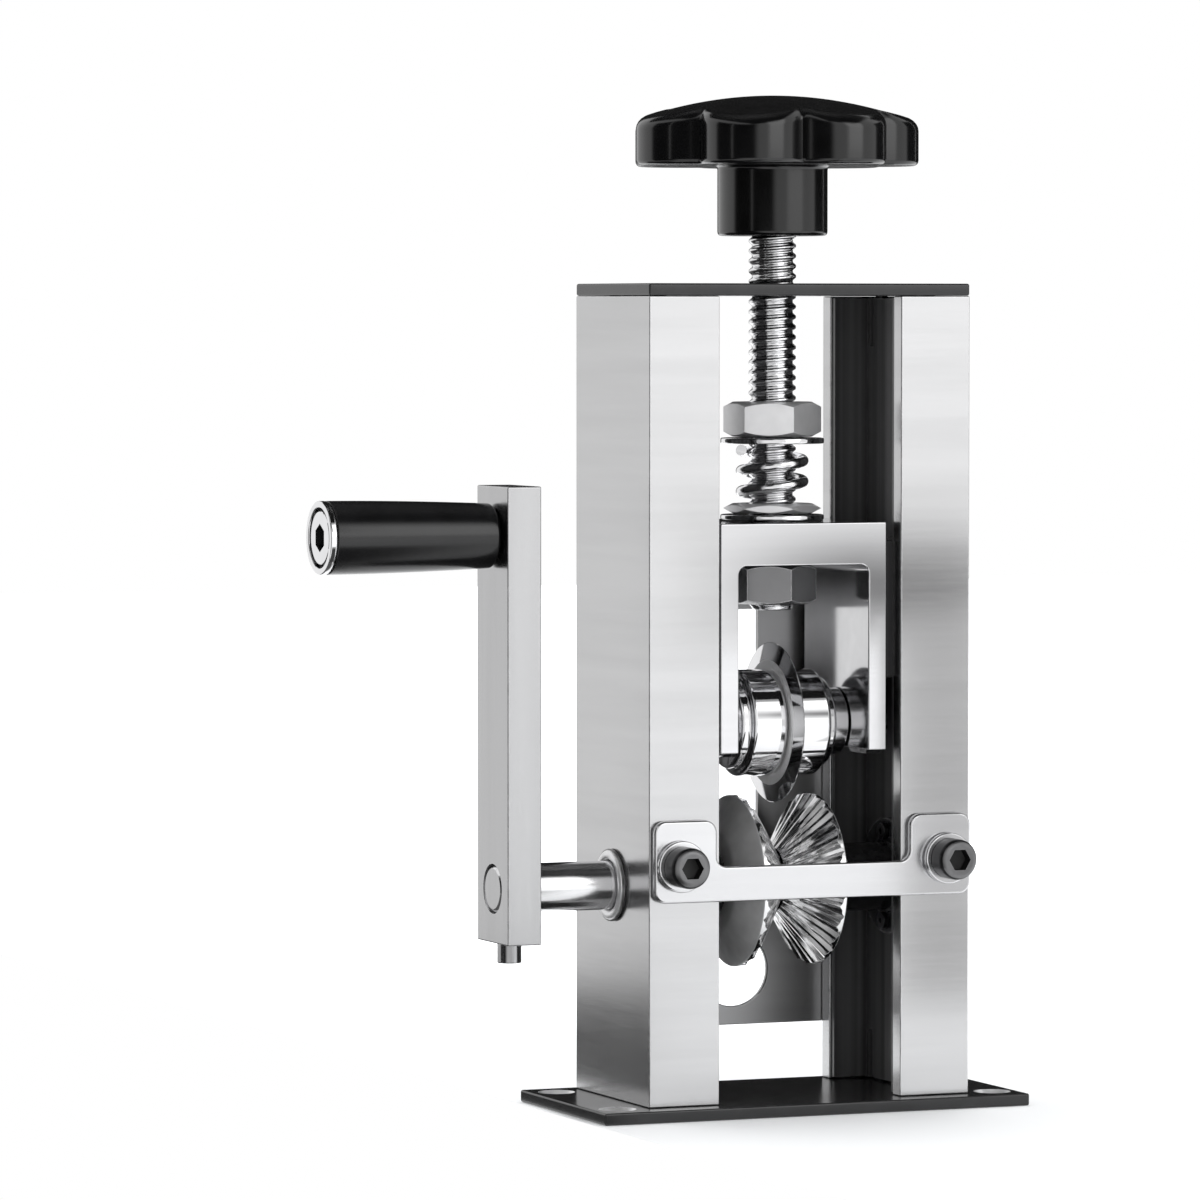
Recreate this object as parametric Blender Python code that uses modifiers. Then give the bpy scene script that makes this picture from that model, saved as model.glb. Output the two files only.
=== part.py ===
# Hand-cranked wire stripping machine: two channel posts between a base plate and a top plate,
# a pair of fluted feed wheels on a crank shaft, and a round blade in a carriage that a
# star knob and screw raise and lower against a spring.
# The origin is on the underside of the base plate, under the middle of the posts.
# +Z is up, the cable goes in from -Y, and the crank is at -X. Lengths are in metres.

import math

import bmesh
import bpy
from mathutils import Quaternion, Vector

mm = 0.001

# sides of round pieces
round_sides = 24
small_sides = 12
disc_sides = 40
roller_sides = 28
dome_sides = 42
dome_steps = 6
spring_side_steps = 1
hex_sides = 6

# fits
gap = 0.3 * mm                  # between pieces that touch or run on each other
cut_over = 2 * mm               # how far a cutter runs past what it cuts
weld = 0.01 * mm                # merge distance
edge_round = 0.5 * mm           # broken edges of bars and plates

# frame
frame_width = 85.5 * mm
frame_depth = 47 * mm
frame_height = 203 * mm         # underside of the base plate to the top of the top plate
plate_thickness = 3 * mm        # base plate and top plate
base_side = 14 * mm             # base plate beyond the posts, at each side
base_front = 6 * mm
base_rear = 2.5 * mm
post_width = 18.5 * mm
post_flange = 4.5 * mm
post_web = 4 * mm
recess_depth = 9.5 * mm         # from the post's inner edge to the rail's floor
rail_wall = 1.5 * mm
rail_setback = 0.5 * mm
rail_notch_width = 2 * mm
rail_notch_height = 12 * mm
rail_screw_radius = 1.5 * mm
rail_screw_length = 12 * mm
rail_screw_edge = 9.5 * mm      # from the posts' front or rear
countersink_radius = 3 * mm
countersink_height = 1.6 * mm
bench_hole_radius = 2.75 * mm
bench_countersink = 4.6 * mm
bench_hole_side = 6.5 * mm      # from the base plate's side edge
bench_hole_end = 8 * mm         # from its front or rear edge

# back plate
back_thickness = 1.5 * mm
back_inset = 4.75 * mm          # from the posts' outer faces
back_bottom = 17.2 * mm
back_above_slot = 12.4 * mm
back_slot_half = 6.6 * mm
back_slot_above_drive = 6.4 * mm
back_slot_above_blade = 27 * mm
back_hole_radius = 9.2 * mm
back_hole_height = 31 * mm
back_screw_edge = 6.5 * mm      # from the back plate's edges
button_head_radius = 3.8 * mm
button_head_height = 2.2 * mm
button_shank_radius = 2 * mm

# front bar
bar_thickness = 2 * mm
bar_below_drive = 2.8 * mm
bar_above_drive = 5.8 * mm
ear_above_drive = 17.2 * mm
ear_inner_inset = 1.55 * mm     # from the post's inner edge
ear_outer_inset = 0.55 * mm     # from its outer face
ear_round = 3 * mm
ear_fillet = 2.5 * mm
bar_bolt_inset = 7.15 * mm      # from the post's outer face
bar_bolt_above_drive = 6.2 * mm
bar_bolt_radius = 3 * mm
bar_bolt_head_radius = 5 * mm
bar_bolt_head_height = 6 * mm
bar_bolt_socket = 2.9 * mm
bar_washer_radius = 6.3 * mm
bar_washer_thickness = 1.6 * mm

# drive: shaft, wheels and bearings
feed_gap = 4.6 * mm             # between the wheels and the rollers
shaft_radius = 6 * mm
shaft_right_inset = 0.7 * mm    # shaft end inside the right post's outer face
wheel_inset = 2.3 * mm          # from the posts' front to the wheels
wheel_groove_radius = 8 * mm
wheel_rim_inner = 9.5 * mm      # from the groove's middle to the rim
wheel_rim_width = 1.7 * mm
wheel_hub_reach = 15.5 * mm
wheel_hub_radius = 12 * mm
wheel_flutes = 24
wheel_flute_depth = 1.3 * mm
spacer_room = 0.4 * mm          # from the bearing screws' heads
bush_radius = 7.7 * mm
bush_flange_radius = 8.9 * mm
bush_flange_thickness = 1.2 * mm
bearing_room = 2.7 * mm         # from the rail's sides to the flange
bearing_flange_thickness = 2.5 * mm
bearing_screw_radius = 1.25 * mm
bearing_screw_head = 2.2 * mm
bearing_screw_head_height = 1.4 * mm

# crank and grip
arm_room = 22.75 * mm           # from the post's face to the arm
arm_thickness = 8.8 * mm
arm_width = 20.4 * mm
arm_below_drive = 13.2 * mm
arm_above_grip = 12.1 * mm
crank_throw = 86.1 * mm         # from the shaft to the grip
set_screw_radius = 3 * mm
set_screw_out = 5 * mm
set_screw_socket = 1.7 * mm
grip_length = 44.6 * mm
grip_radius_out = 8.9 * mm
grip_radius_in = 7.9 * mm
grip_ring_thickness = 1.6 * mm
grip_ring_wall = 1.6 * mm
grip_edge = 0.9 * mm
grip_bolt_radius = 4 * mm
grip_bolt_head_radius = 6.5 * mm
grip_bolt_head_height = 8 * mm
grip_bolt_socket = 3.5 * mm
grip_bolt_end_inset = 0.6 * mm

# blade carriage
carriage_side_gap = 2.55 * mm   # from the guide rails' inner edges
carriage_inset = 4 * mm         # from the posts' front and rear
carriage_below_blade = 6.2 * mm
carriage_above_blade = 49.9 * mm
carriage_bar = 10.4 * mm
carriage_leg = 4.8 * mm
carriage_fillet = 2.2 * mm
blade_below_top = 108.4 * mm    # from the top plate's upper face to the blade's axle
blade_radius = 19.8 * mm
blade_half_thickness = 1 * mm
blade_edge_half = 0.15 * mm
blade_bevel = 4.5 * mm
axle_radius = 5 * mm
axle_hex_across = 16 * mm
axle_head_height = 5.5 * mm
axle_end = 1 * mm               # thread beyond the axle nut
roller_radius = 13.2 * mm
roller_step_radius = 11.2 * mm
roller_step_width = 2.5 * mm    # toward the carriage's leg
roller_edge = 0.6 * mm
axle_spacer_radius = 8.4 * mm
axle_spacer_length = 4 * mm
shoe_above_blade = 11.4 * mm
shoe_below_top = 4.5 * mm
shoe_screw_radius = 2.5 * mm
shoe_screw_head_radius = 4.5 * mm
shoe_screw_head_height = 2.5 * mm

# adjusting screw, nuts and spring
screw_radius = 5.6 * mm         # mean of the thread
screw_below_carriage = 22 * mm  # from the carriage's top
screw_in_knob = 4 * mm
nut_across = 21 * mm
nut_height = 8.6 * mm
lower_nut_across = 19 * mm
lower_nut_height = 9.8 * mm
nut_turn = math.radians(32.2)
pressure_washer_radius = 12.8 * mm
pressure_washer_thickness = 1.4 * mm
spring_room = 19.1 * mm         # from the carriage's top to the pressure washer
seat_washer_thickness = 1.3 * mm
seat_height = 2.4 * mm
spring_radius = 9 * mm          # outside
spring_wire = 2.7 * mm
spring_pitch = 5.1 * mm
spring_points = 10              # along each turn
spring_phase = math.radians(80)

# star knob
knob_lobes = 7
knob_radius = 36 * mm
knob_valley_radius = 26.5 * mm
knob_lobe_power = 0.55
knob_valley_soft = 0.12
knob_turn = math.radians(-22.3)
knob_above_frame = 29 * mm
knob_rim_height = 10.6 * mm
knob_height = 17.3 * mm
knob_hub_radius = 13.6 * mm
knob_hub_above_frame = 11.8 * mm
knob_edge = 1.2 * mm
knob_points = 70

# places that follow from the sizes above
half_width = frame_width / 2
half_depth = frame_depth / 2
post_inner = half_width - post_width
post_bottom = plate_thickness + gap
post_top = frame_height - plate_thickness - gap
cavity_depth = post_width - post_web
rail_floor = post_inner + recess_depth
rail_screw_inset = half_depth - rail_screw_edge
rail_back = post_inner + cavity_depth - gap
rail_half = half_depth - post_flange - gap
rail_inner_half = rail_half - rail_wall
rail_bottom = post_bottom + gap
rail_top = post_top - gap
wheel_radius = half_depth - wheel_inset
blade_height = frame_height - blade_below_top
drive_height = blade_height - wheel_radius - roller_radius - feed_gap
bearing_flange_radius = rail_inner_half - bearing_room
bearing_screw_circle = (bush_radius + bearing_flange_radius) / 2
spacer_radius = bearing_screw_circle - bearing_screw_head - spacer_room
carriage_half_width = post_inner + rail_setback - carriage_side_gap
carriage_depth = frame_depth - 2 * carriage_inset
carriage_bottom = blade_height - carriage_below_blade
carriage_top = blade_height + carriage_above_blade
axle_spacer_end = carriage_half_width - carriage_leg - gap
axle_spacer_start = axle_spacer_end - axle_spacer_length
roller_width = axle_spacer_start - gap - roller_step_width - gap - blade_half_thickness
shoe_bottom = blade_height + shoe_above_blade
shoe_top = carriage_top - shoe_below_top
back_width = frame_width - 2 * back_inset
back_slot_bottom = drive_height + back_slot_above_drive
back_slot_top = blade_height + back_slot_above_blade
back_top = back_slot_top + back_above_slot
bar_bottom = drive_height - bar_below_drive
bar_top = drive_height + bar_above_drive
ear_top = drive_height + ear_above_drive
ear_inner = post_inner + ear_inner_inset
ear_outer = half_width - ear_outer_inset
bar_bolt_side = half_width - bar_bolt_inset
bar_bolt_height = drive_height + bar_bolt_above_drive
arm_outer = half_width + arm_room + arm_thickness
grip_height = drive_height + crank_throw
arm_bottom = drive_height - arm_below_drive
arm_top = grip_height + arm_above_grip
knob_bottom = frame_height + knob_above_frame
knob_rim_top = knob_bottom + knob_rim_height
knob_top = knob_bottom + knob_height
knob_hub_bottom = frame_height + knob_hub_above_frame
pressure_washer_bottom = carriage_top + spring_room
screw_bottom = carriage_top - screw_below_carriage
screw_top = knob_bottom + screw_in_knob
screw_bore = screw_radius + 2 * gap
along_x = Vector((1, 0, 0))
along_y = Vector((0, 1, 0))
along_z = Vector((0, 0, 1))

# colour, roughness and metallic value of each finish
finishes = {
    "brushed aluminium": ((0.62, 0.62, 0.63), 0.34, 1.0),
    "polished steel": ((0.78, 0.78, 0.79), 0.12, 1.0),
    "satin steel": ((0.55, 0.55, 0.56), 0.3, 1.0),
    "dark steel": ((0.1, 0.1, 0.105), 0.35, 1.0),
    "black paint": ((0.03, 0.03, 0.032), 0.4, 0.0),
    "black rail": ((0.018, 0.018, 0.02), 0.3, 0.0),
    "gloss plastic": ((0.012, 0.012, 0.013), 0.12, 0.0),
}


def clear_scene():
    for thing in list(bpy.data.objects):
        bpy.data.objects.remove(thing, do_unlink=True)


def new_collection(name):
    collection = bpy.data.collections.new(name)
    bpy.context.scene.collection.children.link(collection)
    return collection


clear_scene()
parts = new_collection("wire_stripping_machine")
cutters = new_collection("cutters")


def give_finish(part, finish):
    color, roughness, metallic = finishes[finish]
    material = bpy.data.materials.new(part.name + "_" + finish.replace(" ", "_"))
    material.use_nodes = True
    shader = material.node_tree.nodes["Principled BSDF"]
    shader.inputs["Base Color"].default_value = (*color, 1)
    shader.inputs["Roughness"].default_value = roughness
    shader.inputs["Metallic"].default_value = metallic
    part.data.materials.clear()
    part.data.materials.append(material)


def add_part(name, mesh, finish):
    part = bpy.data.objects.new(name, mesh)
    parts.objects.link(part)
    give_finish(part, finish)
    return part


def make_cutter(part):
    # moves a piece to the cutters, so that it only shapes others
    for collection in list(part.users_collection):
        collection.objects.unlink(part)
    cutters.objects.link(part)
    part.hide_render = True
    part.display_type = "WIRE"
    return part


def place(part, at, facing=along_z, turn=0.0):
    # stands the piece's own Z along the given direction
    part.rotation_mode = "QUATERNION"
    part.rotation_quaternion = along_z.rotation_difference(facing) @ Quaternion(along_z, turn)
    part.location = at
    return part


def mesh_from(bm, name):
    mesh = bpy.data.meshes.new(name)
    bm.to_mesh(mesh)
    bm.free()
    return mesh


def box(name, low, high, finish="satin steel"):
    bm = bmesh.new()
    bmesh.ops.create_cube(bm, size=1)
    size = Vector(high) - Vector(low)
    bmesh.ops.scale(bm, vec=size, verts=bm.verts)
    part = add_part(name, mesh_from(bm, name), finish)
    part.location = (Vector(low) + Vector(high)) / 2
    return part


def rod(name, radius, start, end, finish="satin steel", sides=round_sides, turn=0.0):
    # a cylinder between two points, or a prism with few sides
    start, end = Vector(start), Vector(end)
    bm = bmesh.new()
    bmesh.ops.create_cone(bm, cap_ends=True, segments=sides, radius1=radius, radius2=radius,
                          depth=(end - start).length)
    part = add_part(name, mesh_from(bm, name), finish)
    if sides > 6:
        part.data.shade_smooth()
        part.data.set_sharp_from_angle(angle=math.radians(40))
    return place(part, (start + end) / 2, (end - start).normalized(), turn)


def turned(name, profile, at, facing, finish="satin steel", steps=round_sides, closed=True):
    # profile points are (radius, height), down the outside and, if closed, up the bore
    bm = bmesh.new()
    points = [bm.verts.new((radius, 0, height)) for radius, height in profile]
    pairs = list(zip(points, points[1:]))
    if closed:
        pairs.append((points[-1], points[0]))
    for first, second in pairs:
        bm.edges.new((first, second))
    part = add_part(name, mesh_from(bm, name), finish)
    screw = part.modifiers.new("turn", "SCREW")
    screw.angle = math.tau
    screw.steps = steps
    screw.render_steps = steps
    screw.use_merge_vertices = True
    screw.merge_threshold = weld
    return place(part, at, facing)


def sleeve(name, inner, outer, start, end, finish="satin steel", steps=round_sides):
    # a plain ring between two points on its axis
    start, end = Vector(start), Vector(end)
    length = (end - start).length
    profile = [(outer, length), (outer, 0), (inner, 0), (inner, length)]
    return turned(name, profile, start, (end - start).normalized(), finish, steps)


def outlined(name, outline, thickness, at, facing, finish="satin steel", turn=0.0):
    # a flat outline in its own X and Y, thickened evenly about its plane
    curve = bpy.data.curves.new(name, "CURVE")
    curve.dimensions = "2D"
    curve.fill_mode = "BOTH"
    curve.extrude = thickness / 2
    spline = curve.splines.new("POLY")
    spline.points.add(len(outline) - 1)
    for point, (x, y) in zip(spline.points, outline):
        point.co = (x, y, 0, 1)
    spline.use_cyclic_u = True
    return place(curve_to_part(name, curve, finish), at, facing, turn)


def curve_to_part(name, curve, finish):
    # makes a curve a closed mesh, with its caps welded on
    holder = bpy.data.objects.new(name + "_curve", curve)
    parts.objects.link(holder)
    graph = bpy.context.evaluated_depsgraph_get()
    mesh = bpy.data.meshes.new_from_object(holder.evaluated_get(graph))
    bpy.data.objects.remove(holder, do_unlink=True)
    bm = bmesh.new()
    bm.from_mesh(mesh)
    bmesh.ops.remove_doubles(bm, verts=bm.verts, dist=weld)
    bmesh.ops.recalc_face_normals(bm, faces=bm.faces)
    bm.to_mesh(mesh)
    bm.free()
    return add_part(name, mesh, finish)


def combine(part, other, operation="DIFFERENCE"):
    make_cutter(other)
    modifier = part.modifiers.new(operation.lower(), "BOOLEAN")
    modifier.operation = operation
    modifier.object = other
    modifier.solver = "EXACT"
    return part


def drill(part, radius, start, end, sides=small_sides, turn=0.0):
    hole = rod(part.name + "_hole", radius, start, end, sides=sides, turn=turn)
    return combine(part, hole)


def round_edges(part, width, segments=1):
    bevel = part.modifiers.new("round", "BEVEL")
    bevel.width = width
    bevel.segments = segments
    bevel.limit_method = "ANGLE"
    bevel.angle_limit = math.radians(50)
    bevel.use_clamp_overlap = True
    return part


def joint_empty(name, at):
    empty = bpy.data.objects.new(name, None)
    empty.location = at
    parts.objects.link(empty)
    return empty


def carry(empty, pieces):
    # parents pieces to a joint's empty without moving them
    bpy.context.view_layer.update()
    for piece in pieces:
        piece.parent = empty
        piece.matrix_parent_inverse = empty.matrix_world.inverted()


def headed_screw(name, at, facing, head_radius, head_height, shank_radius, shank_length, finish,
                 socket=None):
    # the seat of the head is at its own origin, and the shank runs down from there
    profile = [(0, head_height), (head_radius, head_height), (head_radius, 0),
               (shank_radius, 0), (shank_radius, -shank_length), (0, -shank_length)]
    screw = turned(name, profile, at, facing, finish, steps=small_sides, closed=False)
    if socket:
        top = at + facing * (head_height + cut_over)
        bottom = at + facing * head_height / 2
        combine(screw, rod(name + "_socket", socket, bottom, top, sides=hex_sides))
    return screw


def sunk_screw(name, at, facing, finish):
    # a countersunk screw whose flat top is at its origin
    profile = [(0, 0), (countersink_radius, 0), (countersink_radius, -gap),
               (rail_screw_radius, -countersink_height), (rail_screw_radius, -rail_screw_length),
               (0, -rail_screw_length)]
    return turned(name, profile, at, facing, finish, steps=small_sides, closed=False)


def sunk_hole(part, at, facing, hole_radius, top_radius, depth, sink):
    # a screw hole with a cone at its mouth
    profile = [(0, cut_over), (top_radius, cut_over), (top_radius, -gap), (hole_radius, -sink),
               (hole_radius, -depth), (0, -depth)]
    cutter = turned(part.name + "_sink", profile, at, facing, steps=small_sides, closed=False)
    return combine(part, cutter)


def arc(center_x, center_y, radius, start, end, count=4):
    # points on an arc, from one angle in degrees to another
    points = []
    for step in range(count + 1):
        angle = math.radians(start + (end - start) * step / count)
        points.append((center_x + radius * math.cos(angle), center_y + radius * math.sin(angle)))
    return points


# plates
def make_base_plate():
    low = (-half_width - base_side, -half_depth - base_front, 0)
    high = (half_width + base_side, half_depth + base_rear, plate_thickness)
    base = round_edges(box("base_plate", low, high, "black paint"), edge_round)
    for x in (low[0] + bench_hole_side, high[0] - bench_hole_side):
        for y in (low[1] + bench_hole_end, high[1] - bench_hole_end):
            sunk_hole(base, Vector((x, y, plate_thickness)), along_z, bench_hole_radius,
                      bench_countersink, plate_thickness + cut_over, plate_thickness * 2 / 3)
    for x, y in rail_screw_places():
        sunk_hole(base, Vector((x, y, 0)), -along_z, rail_screw_radius + gap,
                  countersink_radius + gap, plate_thickness + cut_over, countersink_height + gap)


def make_top_plate():
    low = (-half_width, -half_depth, frame_height - plate_thickness)
    high = (half_width, half_depth, frame_height)
    top = round_edges(box("top_plate", low, high, "black paint"), edge_round)
    drill(top, screw_bore, (0, 0, low[2] - cut_over), (0, 0, high[2] + cut_over), sides=round_sides)
    for x, y in rail_screw_places():
        sunk_hole(top, Vector((x, y, frame_height)), along_z, rail_screw_radius + gap,
                  countersink_radius + gap, plate_thickness + cut_over, countersink_height + gap)


def rail_screw_places():
    x = (rail_floor + rail_back) / 2
    return [(side * x, end * rail_screw_inset) for side in (-1, 1) for end in (-1, 1)]


def make_plate_screws():
    words = {(-1, -1): "left_front", (-1, 1): "left_rear", (1, -1): "right_front", (1, 1): "right_rear"}
    for x, y in rail_screw_places():
        word = words[(math.copysign(1, x), math.copysign(1, y))]
        sunk_screw("top_screw_" + word, Vector((x, y, frame_height - gap)), along_z, "dark steel")
        sunk_screw("base_screw_" + word, Vector((x, y, gap)), -along_z, "dark steel")


# posts and their rails
def channel_outline(side, opening, outer, half, wall, web):
    # a channel in plan, open towards the middle of the machine
    floor = outer - web
    points = [(opening, -half), (outer, -half), (outer, half), (opening, half),
              (opening, half - wall), (floor, half - wall), (floor, wall - half), (opening, wall - half)]
    return [(side * x, y) for x, y in points]


def make_post(side, word):
    outline = channel_outline(side, post_inner, half_width, half_depth, post_flange, post_web)
    middle = Vector((0, 0, (post_bottom + post_top) / 2))
    post = outlined(word + "_post", outline, post_top - post_bottom, middle, along_z, "brushed aluminium")
    round_edges(post, edge_round)
    bore = bush_radius + gap
    drill(post, bore, (side * (half_width - post_web - cut_over), 0, drive_height),
          (side * (half_width + cut_over), 0, drive_height), sides=round_sides)
    bolt = Vector((side * bar_bolt_side, 0, bar_bolt_height))
    drill(post, bar_bolt_radius + gap, bolt - along_y * (half_depth + cut_over),
          bolt - along_y * (half_depth - post_flange - cut_over))
    for height in back_screw_heights():
        seat = Vector((side * back_screw_side(), 0, height))
        drill(post, button_shank_radius + gap, seat + along_y * (half_depth - post_flange - cut_over),
              seat + along_y * (half_depth + cut_over))


def make_rail(side, word):
    outline = channel_outline(side, post_inner + rail_setback, rail_back, rail_half, rail_wall,
                              rail_back - rail_floor)
    middle = Vector((0, 0, (rail_bottom + rail_top) / 2))
    rail = outlined(word + "_guide_rail", outline, rail_top - rail_bottom, middle, along_z, "black rail")
    drill(rail, bush_radius + gap, (side * (rail_floor - cut_over), 0, drive_height),
          (side * (rail_back + cut_over), 0, drive_height), sides=round_sides)
    for x, y in rail_screw_places():
        if x * side > 0:
            top, bottom = rail_top + cut_over, rail_bottom - cut_over
            drill(rail, rail_screw_radius + gap, (x, y, top - rail_screw_length), (x, y, top))
            drill(rail, rail_screw_radius + gap, (x, y, bottom), (x, y, bottom + rail_screw_length))
    for low, high in ((rail_bottom - cut_over, rail_bottom + rail_notch_height),
                      (rail_top - rail_notch_height, rail_top + cut_over)):
        inner = side * (rail_floor - cut_over)
        outer = side * (rail_floor + rail_wall)
        y = rail_inner_half - rail_wall
        notch = box("notch", (min(inner, outer), y - rail_notch_width, low), (max(inner, outer), y, high))
        combine(rail, notch)
    if side > 0:
        for seat in bearing_screw_places():
            drill(rail, bearing_screw_radius + gap, seat,
                  (rail_back + cut_over, seat.y, seat.z))


# back plate and front bar
def back_screw_side():
    return back_width / 2 - back_screw_edge + gap


def back_screw_heights():
    return (back_bottom + back_screw_edge, back_top - back_screw_edge)


def make_back_plate():
    near = half_depth + gap
    low = (-back_width / 2, near, back_bottom)
    high = (back_width / 2, near + back_thickness, back_top)
    back = box("back_plate", low, high, "brushed aluminium")
    slot = box("slot", (-back_slot_half, near - cut_over, back_slot_bottom),
               (back_slot_half, near + back_thickness + cut_over, back_slot_top))
    combine(back, slot)
    drill(back, back_hole_radius, (0, near - cut_over, back_hole_height),
          (0, near + back_thickness + cut_over, back_hole_height), sides=round_sides)
    number = 0
    for side in (-1, 1):
        for height in back_screw_heights():
            number += 1
            seat = Vector((side * back_screw_side(), near + back_thickness + gap, height))
            drill(back, button_shank_radius + gap, seat - along_y * (back_thickness + cut_over),
                  seat + along_y * cut_over)
            headed_screw("back_screw_%d" % number, seat, along_y, button_head_radius,
                         button_head_height, button_shank_radius,
                         back_thickness + post_flange + gap, "satin steel")


def make_front_bar():
    # the outline is in X and Z: a bar with a rounded ear at each end
    right = arc(ear_outer - ear_round, bar_bottom + ear_round, ear_round, -90, 0)
    right += arc(ear_outer - ear_round, ear_top - ear_round, ear_round, 0, 90)
    right += arc(ear_inner + ear_round, ear_top - ear_round, ear_round, 90, 180)
    right += arc(ear_inner - ear_fillet, bar_top + ear_fillet, ear_fillet, 0, -90)
    outline = right + [(-x, z) for x, z in reversed(right)]
    y = -half_depth - gap - bar_thickness / 2
    bar = outlined("front_bar", outline, bar_thickness, Vector((0, y, 0)), along_y, "brushed aluminium")
    bar.rotation_mode = "XYZ"
    bar.rotation_euler = (math.radians(90), 0, 0)
    for side, word in ((-1, "left"), (1, "right")):
        front = y - bar_thickness / 2
        place_x = side * bar_bolt_side
        drill(bar, bar_bolt_radius + gap, (place_x, front - cut_over, bar_bolt_height),
              (place_x, front + bar_thickness + cut_over, bar_bolt_height))
        near, far = front - gap, front - gap - bar_washer_thickness
        sleeve("bar_washer_" + word, bar_bolt_radius + gap, bar_washer_radius,
               (place_x, near, bar_bolt_height), (place_x, far, bar_bolt_height), "polished steel")
        seat = Vector((place_x, far - gap, bar_bolt_height))
        reach = -half_depth + post_flange - gap - seat.y
        headed_screw("bar_screw_" + word, seat, -along_y, bar_bolt_head_radius, bar_bolt_head_height,
                     bar_bolt_radius, reach, "dark steel", bar_bolt_socket)


# shaft, wheels and bearings
def make_feed_wheel(side, word):
    # a cone with radial flutes towards the groove, a narrow rim and a plain back, as one loft
    bore = shaft_radius + gap
    around = wheel_flutes * 2
    half_way = (wheel_radius + wheel_groove_radius) / 2
    profile = [(gap, bore, 0), (gap, wheel_groove_radius, 0),
               ((gap + wheel_rim_inner) / 2, half_way, 0.5),
               (wheel_rim_inner, wheel_radius, 1),
               (wheel_rim_inner + wheel_rim_width, wheel_radius, 0),
               (wheel_hub_reach, wheel_hub_radius, 0), (wheel_hub_reach, bore, 0)]
    bm = bmesh.new()
    rings = []
    for x, radius, flute_share in profile:
        ring = []
        for step in range(around):
            angle = math.tau * step / around
            dip = flute_share * wheel_flute_depth * (1 - math.cos(wheel_flutes * angle)) / 2
            ring.append(bm.verts.new((side * (x + dip), radius * math.cos(angle), radius * math.sin(angle))))
        rings.append(ring)
    for ring, following in zip(rings, rings[1:] + rings[:1]):
        for step in range(around):
            ahead = (step + 1) % around
            bm.faces.new((ring[step], ring[ahead], following[ahead], following[step]))
    bmesh.ops.recalc_face_normals(bm, faces=bm.faces)
    wheel = add_part(word + "_feed_wheel", mesh_from(bm, word + "_feed_wheel"), "polished steel")
    wheel.location = (0, 0, drive_height)
    return wheel


def bearing_screw_places():
    x = rail_floor - 2 * gap - bearing_flange_thickness
    return [Vector((x, 0, drive_height + end * bearing_screw_circle)) for end in (-1, 1)]


def make_drive():
    center = Vector((0, 0, drive_height))
    bore = shaft_radius + gap
    shaft = rod("drive_shaft", shaft_radius, center - along_x * arm_outer,
                center + along_x * (half_width - shaft_right_inset), "polished steel")
    moving = [shaft, make_feed_wheel(-1, "left"), make_feed_wheel(1, "right")]
    inner_end = wheel_hub_reach + gap
    moving.append(sleeve("left_shaft_spacer", bore, spacer_radius, center - along_x * inner_end,
                         center - along_x * (rail_floor - gap), "black rail"))
    flange_face = rail_floor - gap - bearing_flange_thickness
    moving.append(sleeve("right_shaft_spacer", bore, spacer_radius, center + along_x * inner_end,
                         center + along_x * (flange_face - gap), "black rail"))
    # left bush: a flange against the outside of the post and a barrel through to the rail's floor
    outside = half_width + gap
    profile = [(bush_flange_radius, bush_flange_thickness), (bush_flange_radius, 0), (bush_radius, 0),
               (bush_radius, rail_floor - outside), (bore, rail_floor - outside),
               (bore, bush_flange_thickness)]
    turned("left_drive_bush", profile, center - along_x * outside, -along_x, "polished steel")
    # right bearing: a wide flange on the rail's floor and a barrel out through the post
    back = rail_floor - gap
    barrel = half_width - back
    profile = [(bearing_flange_radius, bearing_flange_thickness), (bearing_flange_radius, 0),
               (bush_radius, 0), (bush_radius, -barrel), (bore, -barrel), (bore, bearing_flange_thickness)]
    bearing = turned("right_drive_bearing", profile, center + along_x * back, -along_x, "black rail")
    for seat, word in zip(bearing_screw_places(), ("lower", "upper")):
        drill(bearing, bearing_screw_radius + gap, seat - along_x * cut_over,
              seat + along_x * (bearing_flange_thickness + cut_over))
        headed_screw("bearing_screw_" + word, seat, -along_x, bearing_screw_head,
                     bearing_screw_head_height, bearing_screw_radius,
                     bearing_flange_thickness + rail_back - rail_floor - 2 * gap, "dark steel")
    return moving


# crank
def make_crank():
    low = (-arm_outer, -arm_width / 2, arm_bottom)
    high = (-arm_outer + arm_thickness, arm_width / 2, arm_top)
    arm = round_edges(box("crank_arm", low, high, "brushed aluminium"), edge_round)
    middle_x = (low[0] + high[0]) / 2
    for radius, height in ((shaft_radius, drive_height), (grip_bolt_radius, grip_height)):
        drill(arm, radius + gap, (low[0] - cut_over, 0, height), (high[0] + cut_over, 0, height),
              sides=round_sides)
    drill(arm, set_screw_radius + gap, (middle_x, 0, arm_bottom - cut_over),
          (middle_x, 0, drive_height - shaft_radius / 2))
    seat = Vector((middle_x, 0, arm_bottom - set_screw_out))
    set_screw = rod("crank_set_screw", set_screw_radius, seat,
                    (middle_x, 0, drive_height - shaft_radius - gap), "dark steel", small_sides)
    combine(set_screw, rod("set_screw_socket", set_screw_socket, seat - along_z * cut_over,
                           seat + along_z * set_screw_out / 2, sides=hex_sides))
    end = Vector((-arm_outer - gap - grip_length, 0, grip_height))
    seat = end + along_x * (grip_bolt_head_height + gap)
    reach = Vector((high[0] - grip_bolt_end_inset, 0, grip_height)) - seat
    bolt = headed_screw("grip_bolt", seat, -along_x, grip_bolt_head_radius, grip_bolt_head_height,
                        grip_bolt_radius, reach.length, "polished steel", grip_bolt_socket)
    return [arm, set_screw, bolt]


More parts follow.
